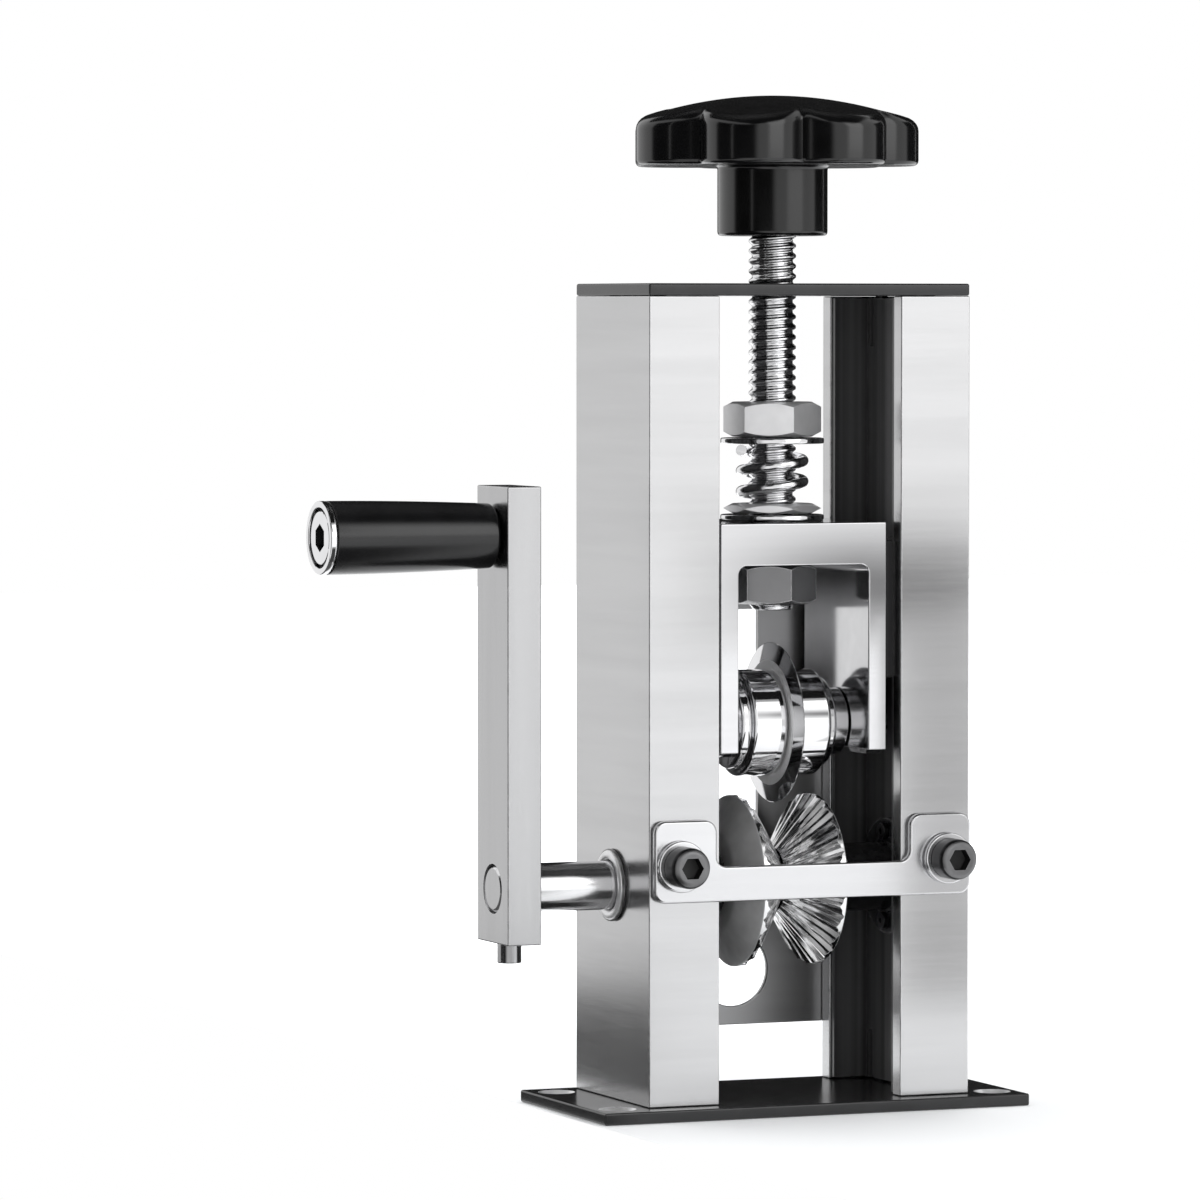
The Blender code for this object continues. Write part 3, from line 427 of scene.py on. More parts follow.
def inPlane(axis, across, up, along):
    point = Vector((0, 0, 0))
    for index, value in zip(planes[axis], (across, up, along)):
        point[index] = value
    return point


def offAxis(point, centre, axis):
    # how far a point is from the line through a centre
    across, up = planes[axis][:2]
    return math.hypot(point[across] - centre[across], point[up] - centre[up])


def middleOf(node):
    low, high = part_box(node)
    return (low + high) / 2


def prismPiece(name, outline, axis, low, high, material, edge, holes=(), segments=3):
    # an outline thickened along an axis, with rounded edges and chamfered holes
    bm = bmesh.new()
    ends = [[bm.verts.new(inPlane(axis, a, b, level)) for a, b in outline] for level in (low, high)]
    for end in ends:
        bm.faces.new(end)
    for step in range(len(outline)):
        ahead = (step + 1) % len(outline)
        bm.faces.new((ends[0][step], ends[0][ahead], ends[1][ahead], ends[1][step]))
    piece = addPiece(name, meshOf(bm, name), material)
    bevel = piece.modifiers.new("edges", "BEVEL")
    bevel.width, bevel.segments = edge, segments
    bevel.limit_method, bevel.angle_limit = "ANGLE", math.radians(40)
    way = inPlane(axis, 0, 0, 1)
    return cutOut(piece, [
        lofted(name + "Hole", profile, inPlane(axis, across, up, 0), way, holeSides, material)
        for across, up, profile in holes])


def boxOutline(a0, b0, a1, b1):
    return [(a0, b0), (a1, b0), (a1, b1), (a0, b1)]


def slabPiece(name, node, axis, material, edge, holes, segments=3):
    # a prism that fills its node's box
    low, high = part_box(node)
    across, up, along = planes[axis]
    outline = boxOutline(low[across], low[up], high[across], high[up])
    return prismPiece(name, outline, axis, low[along], high[along], material, edge, holes, segments)


def holeThrough(radius, low, high, lip=0.3 * mm):
    # a straight hole with a small chamfer at both mouths
    return [(0, low - over), (radius + lip + over, low - over), (radius, low + lip), (radius, high - lip),
            (radius + lip + over, high + over), (0, high + over)]


def sunkThrough(radius, mouth, low, high, top):
    # a countersunk hole whose cone opens at low or at high
    depth = mouth - radius
    if top:
        return [(0, low - over), (radius, low - over), (radius, high - depth), (mouth, high),
                (mouth + over, high + over), (0, high + over)]
    return [(0, low - over), (mouth + over, low - over), (mouth, low), (radius, low + depth),
            (radius, high + over), (0, high + over)]


def arc(a, b, radius, start, end, steps=8):
    turns = [math.radians(start + (end - start) * step / steps) for step in range(steps + 1)]
    return [(a + radius * math.cos(turn), b + radius * math.sin(turn)) for turn in turns]


def paintFaces(piece, material, inside):
    # gives another finish to the faces whose middle passes the test
    piece.data.materials.append(material)
    for face in piece.data.polygons:
        if inside(face.center):
            face.material_index = len(piece.data.materials) - 1


def stand(piece, body, slot, *nodes):
    # the piece rides a body and stands for CAD nodes
    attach(piece, body)
    if nodes:
        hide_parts(*nodes)
    return piece


def ringFor(name, node, body, slot, inner, centre, axis, material, sides=plainSides, rounding=0.25 * mm):
    # a ring that is as long and wide as its node
    low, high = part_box(node)
    up, along = planes[axis][1:]
    outer, length = (high - low)[up] / 2, (high - low)[along]
    start = Vector(centre)
    start[along] = low[along]
    profile = [(inner, 0), (outer, 0), (outer, length), (inner, length)]
    ring = turnedPiece(name, profile, start, inPlane(axis, 0, 0, 1), material, sides, rounding, True)
    return stand(ring, body, slot, node)


coneSlope = math.tan(math.radians(28))  # of the cones turned on a hexagon's ends


def hexRing(across, level, rise=0, chamfer=crownShare):
    # a ring on a hexagon; with a rise of 1 or -1 it follows the cone that is turned on the hexagon's end
    def ring(angle):
        radius = across / 2 / math.cos((angle % (full / 6)) - full / 12)
        return radius, level + rise * (radius - across / 2 * chamfer) * coneSlope
    return ring


def nutFor(name, node, body, across, bore, height, axis, material, turn=0.0, chamfer=crownShare):
    # a hexagon as long as its node, with cones turned on both ends and a chamfered bore
    low, high = (corner[planes[axis][2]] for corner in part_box(node))
    crown, lip = across / 2 * chamfer, 0.5 * mm
    rings = [(bore, low + lip), (bore + lip, low), (crown, low), hexRing(across, low, 1, chamfer),
             hexRing(across, high, -1, chamfer), (crown, high), (bore + lip, high), (bore, high - lip)]
    nut = lofted(name, rings, (0, 0, height), inPlane(axis, 0, 0, 1), fineSides, material, True, turn)
    return stand(finishMesh(nut, angle=30), body, "steel", node)


# geometry node trees
def applyTree(piece, tree, values):
    modifier = piece.modifiers.new(tree.name, "NODES")
    modifier.node_group = tree
    for item in tree.interface.items_tree:
        if item.item_type == "SOCKET" and item.in_out == "INPUT" and item.name in values:
            modifier[item.identifier] = values[item.name]
    return settle(piece)


def grownPiece(name, tree, material, **values):
    # a piece that its node tree makes from nothing
    piece = addPiece(name, bpy.data.meshes.new(name), material)
    return applyTree(piece, tree, {"Material": material, **values})


def endTree(tree, geometry, material, out):
    real = addNode(tree, "GeometryNodeRealizeInstances", {0: geometry})
    painted = addNode(tree, "GeometryNodeSetMaterial", {"Geometry": real.outputs[0]})
    feed(tree, painted.inputs["Material"], material)
    feed(tree, out["Geometry"], painted.outputs[0])
    return tree


def threadTree():
    # a rolled thread: rows of a grid follow the helix, and each row's place in the turn sets its radius
    tree, given, out = newGroup("rolledThread", "GeometryNodeTree", {
        "Float": "Bottom Top Lead Root Crest FlankLow FlankHigh EndSlope EndStep",
        "Int": "Columns RowsPerTurn", "Material": "Material"}, {"Geometry": "Geometry"})
    calc = partial(mathNode, tree)
    length = calc("SUBTRACT", given["Top"], given["Bottom"])
    turns = calc("CEIL", calc("ADD", calc("DIVIDE", length, given["Lead"]), 1.0))
    rows = calc("MULTIPLY_ADD", turns, given["RowsPerTurn"], 1.0)
    grid = addNode(tree, "GeometryNodeMeshGrid", {
        "Size X": 1.0, "Size Y": 1.0, "Vertices X": calc("ADD", given["Columns"], 1.0), "Vertices Y": rows})
    place = addNode(tree, "GeometryNodeInputPosition").outputs[0]
    here = addNode(tree, "ShaderNodeSeparateXYZ", {0: place}).outputs
    around = calc("ADD", here["X"], 0.5)
    climb = calc("MULTIPLY", calc("ADD", here["Y"], 0.5), turns)
    rise = calc("SUBTRACT", calc("ADD", climb, around), 1.0)
    raw = calc("MULTIPLY_ADD", rise, given["Lead"], given["Bottom"])
    height = calc("MINIMUM", calc("MAXIMUM", raw, given["Bottom"]), given["Top"])
    wave = calc("MULTIPLY_ADD", calc("COSINE", calc("MULTIPLY", climb, full)), 0.5, 0.5)
    radius = rangeNode(tree, wave, given["FlankLow"], given["FlankHigh"], given["Root"], given["Crest"])
    foot = calc("SUBTRACT", given["Root"], given["EndStep"])
    for away in (calc("SUBTRACT", height, given["Bottom"]), calc("SUBTRACT", given["Top"], height)):
        radius = calc("MINIMUM", radius, calc("MULTIPLY_ADD", away, given["EndSlope"], foot))
    point = polarNode(tree, radius, calc("MULTIPLY", around, full), height)
    moved = addNode(tree, "GeometryNodeSetPosition", {"Geometry": grid.outputs["Mesh"], "Position": point})
    merged = addNode(tree, "GeometryNodeMergeByDistance", {"Geometry": moved.outputs[0], "Distance": weld})
    return endTree(tree, merged.outputs[0], given["Material"], out)


def coilTree():
    # a coil of round wire
    tree, given, out = newGroup("coil", "GeometryNodeTree", {
        "Float": "Low High Radius Wire Turns Phase", "Int": "Steps", "Material": "Material"},
        {"Geometry": "Geometry"})
    calc = partial(mathNode, tree)
    line = addNode(tree, "GeometryNodeCurvePrimitiveLine")
    fine = addNode(tree, "GeometryNodeResampleCurve", {"Curve": line.outputs[0], "Count": given["Steps"]})
    share = addNode(tree, "GeometryNodeSplineParameter").outputs["Factor"]
    angle = calc("MULTIPLY_ADD", calc("MULTIPLY", share, given["Turns"]), full, given["Phase"])
    height = calc("MULTIPLY_ADD", calc("SUBTRACT", given["High"], given["Low"]), share, given["Low"])
    point = polarNode(tree, given["Radius"], angle, height)
    moved = addNode(tree, "GeometryNodeSetPosition", {"Geometry": fine.outputs[0], "Position": point})
    section = addNode(tree, "GeometryNodeCurvePrimitiveCircle", {"Resolution": 16, "Radius": given["Wire"]})
    tube = addNode(tree, "GeometryNodeCurveToMesh", {
        "Curve": moved.outputs[0], "Profile Curve": section.outputs[0], "Fill Caps": True})
    return endTree(tree, tube.outputs[0], given["Material"], out)


def fluteTree():
    # pushes the marked face of a wheel in along X, in a row of V flutes round its axis
    tree, given, out = newGroup("radialFlutes", "GeometryNodeTree", {
        "Geometry": "Geometry", "Float": "Centre Depth Side Coarse Fine FinePerFlute",
        "Int": "Flutes", "Material": "Material"},
        {"Geometry": "Geometry"})
    calc = partial(mathNode, tree)
    place = addNode(tree, "GeometryNodeInputPosition").outputs[0]
    here = addNode(tree, "ShaderNodeSeparateXYZ", {0: place}).outputs
    angle = calc("ARCTAN2", calc("SUBTRACT", here["Z"], given["Centre"]), here["Y"])
    around = calc("MULTIPLY", calc("DIVIDE", angle, full), given["Flutes"])
    coarse = calc("PINGPONG", around, 0.5)
    fine = calc("PINGPONG", calc("MULTIPLY", around, given["FinePerFlute"]), 0.5)
    wave = calc("MULTIPLY_ADD", coarse, given["Coarse"], calc("MULTIPLY", fine, given["Fine"]))
    share = addNode(tree, "GeometryNodeInputNamedAttribute", {0: "fluteShare"}, data_type="FLOAT")
    dip = calc("MULTIPLY", wave, share.outputs[0])
    deep = calc("MULTIPLY", calc("MULTIPLY", dip, given["Depth"]), given["Side"])
    offset = addNode(tree, "ShaderNodeCombineXYZ", {"X": deep}).outputs[0]
    moved = addNode(tree, "GeometryNodeSetPosition", {"Geometry": given["Geometry"], "Offset": offset})
    return endTree(tree, moved.outputs[0], given["Material"], out)


def screwTree():
    # one screw on each point, turned to the direction that the point carries
    tree, given, out = newGroup("screwsOnPoints", "GeometryNodeTree", {
        "Geometry": "Geometry", "Object": "Screw", "Material": "Material"}, {"Geometry": "Geometry"})
    facing = addNode(tree, "GeometryNodeInputNamedAttribute", {0: "facing"}, data_type="FLOAT_VECTOR")
    turned = addNode(tree, "FunctionNodeAlignRotationToVector", {"Vector": facing.outputs[0]}, axis="Z")
    screw = addNode(tree, "GeometryNodeObjectInfo", {"Object": given["Screw"]})
    points = addNode(tree, "GeometryNodeMeshToPoints", {0: given["Geometry"]})
    placed = addNode(tree, "GeometryNodeInstanceOnPoints", {
        "Points": points.outputs[0], "Instance": screw.outputs["Geometry"], "Rotation": turned.outputs[0]})
    return endTree(tree, placed.outputs[0], given["Material"], out)


rolledThread, coil, radialFlutes, screwsOnPoints = threadTree(), coilTree(), fluteTree(), screwTree()


# screws
def seat(node, axis, side, head=0.0, level=None):
    # a screw's place and direction: under a head of that height at its node's outer end, or at a level
    low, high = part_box(node)
    along = planes[axis][2]
    point = (low + high) / 2
    point[along] = (high if side > 0 else low)[along] - side * head if level is None else level
    return point, inPlane(axis, 0, 0, side)


def shankBelow(head, shank, length):
    return [(head, 0), (shank, 0), (shank, -length), (0, -length)]


socketSizes = {"taper": 0.98, "drilled": 1.12, "round": 0.35 * mm, "sides": 48, "sharp": 32}


def putScrews(name, profile, size, places, material, body, slot, *nodes):
    # the same screw with a hexagon socket at every place; zero in its profile is the seat
    shape, top, across, depth = socketSizes, profile[0][1], size["socket"] * 2, size["socketDepth"]
    rings = [(0, top - depth * shape["drilled"]), hexRing(across * shape["taper"], top - depth),
             hexRing(across, top), *soften(profile, shape["round"])]
    screw = lofted("screw", rings, (0, 0, 0), (0, 0, 1), shape["sides"], material)
    finishMesh(screw, shape["sharp"])
    mesh = bpy.data.meshes.new(name)
    mesh.from_pydata([tuple(point) for point, facing in places], [], [])
    facings = mesh.attributes.new("facing", "FLOAT_VECTOR", "POINT")
    for index, (point, facing) in enumerate(places):
        facings.data[index].vector = facing
    piece = addPiece(name, mesh, material)
    applyTree(piece, screwsOnPoints, {"Screw": screw, "Material": material})
    bpy.data.objects.remove(screw, do_unlink=True)
    return stand(piece, body, slot, *nodes)


# frame: plates, posts, back plate and front bar
plateSizes = inMm(edge=0.5, benchHole=2.75, benchSink=4.6, benchSide=6.5, benchEnd=8, sinkMouth=3.3,
                  sinkHole=1.8, screwBore=6.2, boreLip=0.5, skin=0.02)


def screwHoles(plate, top):
    low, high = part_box(plate + "_plate")
    profile = sunkThrough(plateSizes["sinkHole"], plateSizes["sinkMouth"], low.z, high.z, top)
    return [(*middleOf(plate + "_screw_" + word).xy, profile) for word in cornerWords]


def makePlates():
    size = plateSizes
    low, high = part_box("base_plate")
    sinks = [Vector((x, y, 0)) for x in (low.x + size["benchSide"], high.x - size["benchSide"])
             for y in (low.y + size["benchEnd"], high.y - size["benchEnd"])]
    profile = sunkThrough(size["benchHole"], size["benchSink"], low.z, high.z, True)
    holes = [(sink.x, sink.y, profile) for sink in sinks] + screwHoles("base", False)
    base = slabPiece("basePlate", "base_plate", "z", platePaint, size["edge"], holes)
    paintFaces(base, nutSteel, lambda middle: middle.z < high.z - size["skin"] and any(
        offAxis(middle, sink, "z") < size["benchSink"] for sink in sinks))
    stand(base, "frame", "plates", "base_plate")
    topLow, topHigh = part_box("top_plate")
    holes = [(0, 0, holeThrough(size["screwBore"], topLow.z, topHigh.z, size["boreLip"]))]
    top = slabPiece("topPlate", "top_plate", "z", platePaint, size["edge"], holes + screwHoles("top", True))
    stand(top, "frame", "plates", "top_plate")


# the visible posts reach a little into the gaps below and above them
postSizes = inMm(flange=4.5, web=4, edge=0.3, seat=0.22)


def makePosts():
    size = postSizes
    for word, side in sideWords.items():
        low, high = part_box(word + "_post")
        outer, inner = (low.x, high.x) if side < 0 else (high.x, low.x)
        floor = outer - side * size["web"]
        half, lip = high.y, high.y - size["flange"]
        outline = [(inner, -half), (outer, -half), (outer, half), (inner, half), (inner, lip), (floor, lip),
                   (floor, -lip), (inner, -lip)]
        post = prismPiece(word + "Post", outline, "z", low.z - size["seat"], high.z + size["seat"],
                          postMetal, size["edge"])
        stand(post, "frame", "posts", word + "_post")


backSizes = inMm(slotHalf=6.6, slotBottom=62, slotTop=121.6, slotReach=5, slotEdge=0.05, hole=9.2,
                 holeHeight=31, edge=0.25)


def makeBackPlate():
    size = backSizes
    low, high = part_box("back_plate")
    plate = slabPiece("backPlate", "back_plate", "y", backMetal, size["edge"],
                      [(0, size["holeHeight"], holeThrough(size["hole"], low.y, high.y))])
    middle, half, reach = (low.y + high.y) / 2, size["slotHalf"], size["slotReach"]
    slot = prismPiece("slot", boxOutline(-half, size["slotBottom"], half, size["slotTop"]), "y",
                      middle - reach, middle + reach, backMetal, size["slotEdge"])
    stand(cutOut(plate, [slot]), "frame", "brackets", "back_plate")


barSizes = inMm(bottom=52.8, top=61.4, earTop=72.8, earInner=25.8, earOuter=42.2, round=3, fillet=2.5,
                bolt=3.3, edge=0.6, washerRound=0.45)
capSizes = inMm(head=5, height=6, round=1.5, socket=2.5, rim=0.75, socketDepth=3, shank=2.9, length=7,
                seatGap=0.02, skin=0.05, faceDepth=0.45)


def makeFrontBar():
    size = barSizes
    low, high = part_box("front_bar")
    inner, outer, radius, fillet = size["earInner"], size["earOuter"], size["round"], size["fillet"]
    right = arc(outer - radius, size["bottom"] + radius, radius, -90, 0)
    right += arc(outer - radius, size["earTop"] - radius, radius, 0, 90)
    right += arc(inner + radius, size["earTop"] - radius, radius, 90, 180)
    right += arc(inner - fillet, size["top"] + fillet, fillet, 0, -90)
    outline = right + [(-x, z) for x, z in reversed(right)]
    bolts = [middleOf("bar_screw_" + word) for word in sideWords]
    holes = [(bolt.x, bolt.z, holeThrough(size["bolt"], low.y, high.y)) for bolt in bolts]
    bar = prismPiece("frontBar", outline, "y", low.y, high.y, barMetal, size["edge"], holes)
    stand(bar, "frame", "brackets", "front_bar")
    for word, bolt in zip(sideWords, bolts):
        ringFor("barWasher" + word.title(), "bar_washer_" + word, "frame", "steel", size["bolt"], bolt, "y",
                zinc, plainSides, size["washerRound"])
    size = capSizes
    height, rounding = size["height"], size["round"]
    profile = [(size["socket"] + size["rim"], height)]
    profile += arc(size["head"] - rounding, height - rounding, rounding, 90, 0, 5)
    profile += shankBelow(size["head"], size["shank"], size["length"])
    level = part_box("bar_washer_left")[0].y - size["seatGap"]
    nodes = ["bar_screw_" + word for word in sideWords]
    heads = putScrews("barScrews", profile, size, [seat(node, "y", -1, level=level) for node in nodes],
                      darkSteel, "frame", "dark_screws", *nodes)
    face = level - height + size["skin"]
    # painted light: the heads' front faces take the lighter copy of their dark steel
    paintFaces(heads, litHeadFaceSteel, lambda middle: middle.y < face + size["faceDepth"])
    # painted shade: the heads' sockets are painted near-black
    paintFaces(heads, socketShadeBlack, lambda middle: face < middle.y < level and any(
        offAxis(middle, bolt, "y") < size["socket"] * socketReach for bolt in bolts))


sunkSizes = inMm(head=3, land=0.3, depth=1.6, shank=1.5, length=9, socket=1, rim=0.5, socketDepth=1.1)
buttonSizes = inMm(head=3.8, height=2.2, shank=1.9, length=5.5, socket=1.25, rim=0.4, socketDepth=1.2) | {
    "steps": 6, "flat": 0.9}


def makeFrameScrews():
    size = sunkSizes
    profile = [(size["socket"] + size["rim"], 0), (size["head"], 0), (size["head"], -size["land"]),
               (size["shank"], -size["depth"]), (size["shank"], -size["length"]), (0, -size["length"])]
    sides = {plate + word: side for word in cornerWords
             for plate, side in (("top_screw_", 1), ("base_screw_", -1))}
    putScrews("plateScrews", profile, size, [seat(node, "z", side) for node, side in sides.items()],
              darkSteel, "frame", "dark_screws", *sides)
    size = buttonSizes
    reach, height, steps = size["head"], size["height"], size["steps"]
    profile = [(size["socket"] + size["rim"], height)]
    for step in range(1, steps + 1):
        turn = step / steps * math.pi / 2
        dome = reach * math.sin(turn) + size["socket"] * (1 - step / steps)
        profile.append((min(dome, reach), height - height * size["flat"] * (1 - math.cos(turn))))
    profile += shankBelow(reach, size["shank"], size["length"])
    nodes = ["back_screw_%d" % number for number in range(1, 5)]
    putScrews("backScrews", profile, size, [seat(node, "y", 1, height) for node in nodes], zinc, "frame",
              "steel", *nodes)


makePlates()
makePosts()
makeBackPlate()
makeFrontBar()
makeFrameScrews()
print("frame made")

# drive: shaft, feed wheels, spacers and bearings
driveSizes = inMm(height=55.6, shaft=6, chamfer=1, round=0.1, skin=0.05, spacerRound=0.5)
bushSizes = inMm(radius=7.7, flange=8.9, thickness=1.2, lip=8.55, rim=0.3, recess=0.6, round=0.08) | {
    "steps": 8}
bearingSizes = inMm(thickness=2.5, race=1.6, slope=0.3, seal=1.3, sealDepth=0.5, round=0.3) | {"sides": 72}
bearingScrewSizes = inMm(head=2.2, height=1.4, shank=1.2, length=4, socket=0.75, rim=0.55,
                         socketDepth=0.9)
wheelSizes = inMm(radius=21.2, groove=8, inset=0.3, rimInner=9.2, rimWidth=2, rimStep=0.15, edge=0.3,
                  hub=12, hubReach=15.5, hubFlare=1.2, hubEdge=0.6, lip=0.4, skin=0.2, fluteDepth=1.9) | {
    "coneSteps": 8, "steepest": 1.25, "rimShare": 0.8, "flutes": 24, "columnsPerFlute": 18,
    "coarse": 1.6, "fine": 0.4, "finePerFlute": 3.0}
alongX = (1, 0, 0)


def plainScrew(size):
    # a flat cylinder head on a shank
    return [(size["socket"] + size["rim"], size["height"]), (size["head"], size["height"])] + shankBelow(
        size["head"], size["shank"], size["length"])


def makeFeedWheel(side, word):
    # a cone with radial flutes towards the groove, a narrow notched rim and a dished plain back
    size, height, bore = wheelSizes, driveSizes["height"], driveSizes["shaft"] + clearance
    radius, groove, inset, edge, lip = (size[key] for key in ("radius", "groove", "inset", "edge", "lip"))
    rim, hub, reach = size["rimInner"], size["hub"], size["hubReach"]
    back, slant = rim + size["rimWidth"], radius - size["rimStep"] - groove
    profile = [(bore, inset), (groove, inset)]
    shares = [0, 0]
    for step in range(1, size["coneSteps"] + 1):
        share = step / size["coneSteps"]
        profile.append((groove + slant * share, inset + (rim - inset) * share))
        shares.append(min(share * size["steepest"], 1))
    profile += [(radius, rim + size["rimStep"]), (radius, back - edge), (radius - edge, back),
                (hub + size["hubFlare"], reach - size["hubEdge"]), (hub, reach), (bore + lip, reach),
                (bore, reach - lip)]
    shares += [size["rimShare"]] + [0] * 6
    wheel = lofted(word + "FeedWheel", profile, (0, 0, height), (side, 0, 0),
                   size["flutes"] * size["columnsPerFlute"], wheelSteel, True, 0.0, ("fluteShare", shares))
    applyTree(wheel, radialFlutes, {
        "Centre": height, "Flutes": size["flutes"], "Depth": size["fluteDepth"], "Side": float(side),
        "Coarse": size["coarse"], "Fine": size["fine"], "FinePerFlute": size["finePerFlute"],
        "Material": wheelSteel})
    finishMesh(wheel, angle=28)
    paintFaces(wheel, wheelSideSteel, lambda middle: abs(middle.x) > back - size["skin"])
    stand(wheel, "crank", "steel", word + "_feed_wheel")


def makeShaft():
    size = driveSizes
    low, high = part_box("drive_shaft")
    radius, length, chamfer = size["shaft"], high.x - low.x, size["chamfer"]
    profile = [(0, 0), (radius - chamfer, 0), (radius, chamfer), (radius, length - chamfer / 2),
               (radius - chamfer / 2, length), (0, length)]
    shaft = turnedPiece("driveShaft", profile, (low.x, 0, size["height"]), alongX, threadSteel, plainSides,
                        size["round"])
    paintFaces(shaft, armMetal, lambda middle: middle.x < low.x + size["skin"])
    stand(shaft, "crank", "steel", "drive_shaft")
    for word, side in sideWords.items():
        makeFeedWheel(side, word)
    for word in sideWords:
        ringFor(word + "ShaftSpacer", word + "_shaft_spacer", "crank", "rails", radius + clearance,
                (0, 0, size["height"]), "x", bearingBlack, plainSides, size["spacerRound"])


def makeBearings():
    size, height, bore = bushSizes, driveSizes["height"], driveSizes["shaft"] + clearance
    low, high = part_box("left_drive_bush")
    length, bush, flange, thick = high.x - low.x, size["radius"], size["flange"], size["thickness"]
    lip, recess = size["lip"], size["recess"]
    profile = [(bore, recess), (bore + size["rim"], recess)]
    for step in range(1, size["steps"]):
        turn = step * math.pi / size["steps"]
        swell = (bore + lip) / 2 - (lip - bore) / 2 * math.cos(turn)
        profile.append((swell, recess * (1 - math.sin(turn))))
    profile += [(lip, recess), (flange, recess), (flange, thick), (bush, thick), (bush, length),
                (bore, length)]
    piece = turnedPiece("driveBush", profile, (low.x, 0, height), alongX, nutSteel, plainSides,
                        size["round"], True)
    # painted shade: the flange beyond the lip takes the black bearing finish, as a dark ring round the
    # bush's bright rim
    paintFaces(piece, bearingBlack, lambda middle: offAxis(middle, (0, 0, height), "x") > lip)
    stand(piece, "frame", "steel", "left_drive_bush")
    size = bearingSizes
    low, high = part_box("right_drive_bearing")
    length, flange, thick = high.x - low.x, (high.z - low.z) / 2, size["thickness"]
    inner, depth = bore + size["race"], size["sealDepth"]
    outer = inner + size["slope"] + size["seal"]
    profile = [(bore, 0), (inner, 0), (inner + size["slope"], depth), (outer, depth),
               (outer + size["slope"], 0), (flange, 0), (flange, thick), (bush, thick), (bush, length),
               (bore, length)]
    bearing = turnedPiece("driveBearing", profile, (low.x, 0, height), alongX, bearingBlack, size["sides"],
                          size["round"], True)
    stand(bearing, "frame", "rails", "right_drive_bearing")
    size, nodes = bearingScrewSizes, ["bearing_screw_lower", "bearing_screw_upper"]
    places = [seat(node, "x", -1, level=low.x) for node in nodes]
    putScrews("bearingScrews", plainScrew(size), size, places, darkSteel, "frame", "dark_screws", *nodes)


makeShaft()
makeBearings()
print("drive made")

# crank arm with its screw and bolt
armSizes = inMm(edge=0.35, shaftHole=6.08, shaftLip=0.1, boltHole=4.2)
setSizes = inMm(radius=3, socket=1.5, rim=0.8, socketDepth=2.4)
boltSizes = inMm(middle=141.7, head=6.5, height=8, shank=4, socket=3, rim=1.1, socketDepth=4, skin=0.05)


def makeCrank():
    size, bolt = armSizes, boltSizes
    low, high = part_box("crank_arm")
    holes = [(0, driveSizes["height"], holeThrough(size["shaftHole"], low.x, high.x, size["shaftLip"])),
             (0, bolt["middle"], holeThrough(size["boltHole"], low.x, high.x))]
    arm = slabPiece("crankArm", "crank_arm", "x", armMetal, size["edge"], holes, 4)
    stand(arm, "crank", "posts", "crank_arm")
    size = setSizes
    low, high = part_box("crank_set_screw")
    profile = [(size["socket"] + size["rim"], 0), (size["radius"], 0), (size["radius"], low.z - high.z),
               (0, low.z - high.z)]
    putScrews("crankSetScrew", profile, size, [seat("crank_set_screw", "z", -1)], setScrewSteel, "crank",
              "dark_screws", "crank_set_screw")
    low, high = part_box("grip_bolt")
    profile = plainScrew({**bolt, "length": high.x - low.x - bolt["height"]})
    piece = putScrews("gripBolt", profile, bolt, [seat("grip_bolt", "x", -1, bolt["height"])], chrome,
                      "crank", "steel", "grip_bolt")
    face, centre = low.x + bolt["skin"], (0, 0, bolt["middle"])
    # painted shade: the chrome bolt's socket is painted near-black
    paintFaces(piece, socketShadeBlack, lambda middle: face < middle.x < low.x + bolt["height"] and
               offAxis(middle, centre, "x") < bolt["socket"] * socketReach)


gripSizes = inMm(out=8.9, narrow=7.9, edge=0.9, bulge=0.12, round=0.25, ringWall=1.6, ringThickness=1.6,
                 ringRound=0.35) | {"taper": 1.3, "steps": 12}


def makeGrip():
    size, bolt, height = gripSizes, boltSizes, boltSizes["middle"]
    low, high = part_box("grip_sleeve")
    length, out, narrow, edge = high.x - low.x, size["out"], size["narrow"], size["edge"]
    bore, pocket = bolt["shank"] + clearance, bolt["head"] + clearance
    depth = bolt["height"] - size["ringThickness"] + clearance
    profile = [(pocket, 0)]
    for step in range(size["steps"] + 1):
        share = step / size["steps"]
        bulge = math.sin(share * math.pi) * size["bulge"]
        profile.append((out + (narrow - out) * share ** size["taper"] + bulge, (length - edge) * share))
    profile += [(narrow - edge, length), (bore, length), (bore, depth), (pocket, depth)]
    sleeve = turnedPiece("gripSleeve", profile, (low.x, 0, height), alongX, gripPlastic, fineSides,
                         size["round"], True)
    stand(sleeve, "grip", "black_plastic", "grip_sleeve")
    low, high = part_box("grip_end_ring")
    ringFor("gripEndRing", "grip_end_ring", "grip", "steel", (high.z - low.z) / 2 - size["ringWall"],
            (0, 0, height), "x", chrome, fineSides, size["ringRound"])


makeCrank()
makeGrip()
print("crank made")

# carriage with its axle, shoe screws, washer and spring seat
carriageSizes = inMm(bar=10.4, leg=4.8, fillet=2.2, edge=0.35, bore=6.2, bladeHeight=94.6,
                     washerRound=0.4)
axleSizes = inMm(radius=5, hex=16, headGap=0.3, chamfer=0.5)
nutSizes = inMm(across=21, lowerAcross=19) | {"turn": math.radians(32.2), "chamfer": 0.93}
shoeScrewSizes = inMm(head=4.5, height=2.5, shank=2.4, length=9, socket=1.25, rim=0.75, socketDepth=1.5)


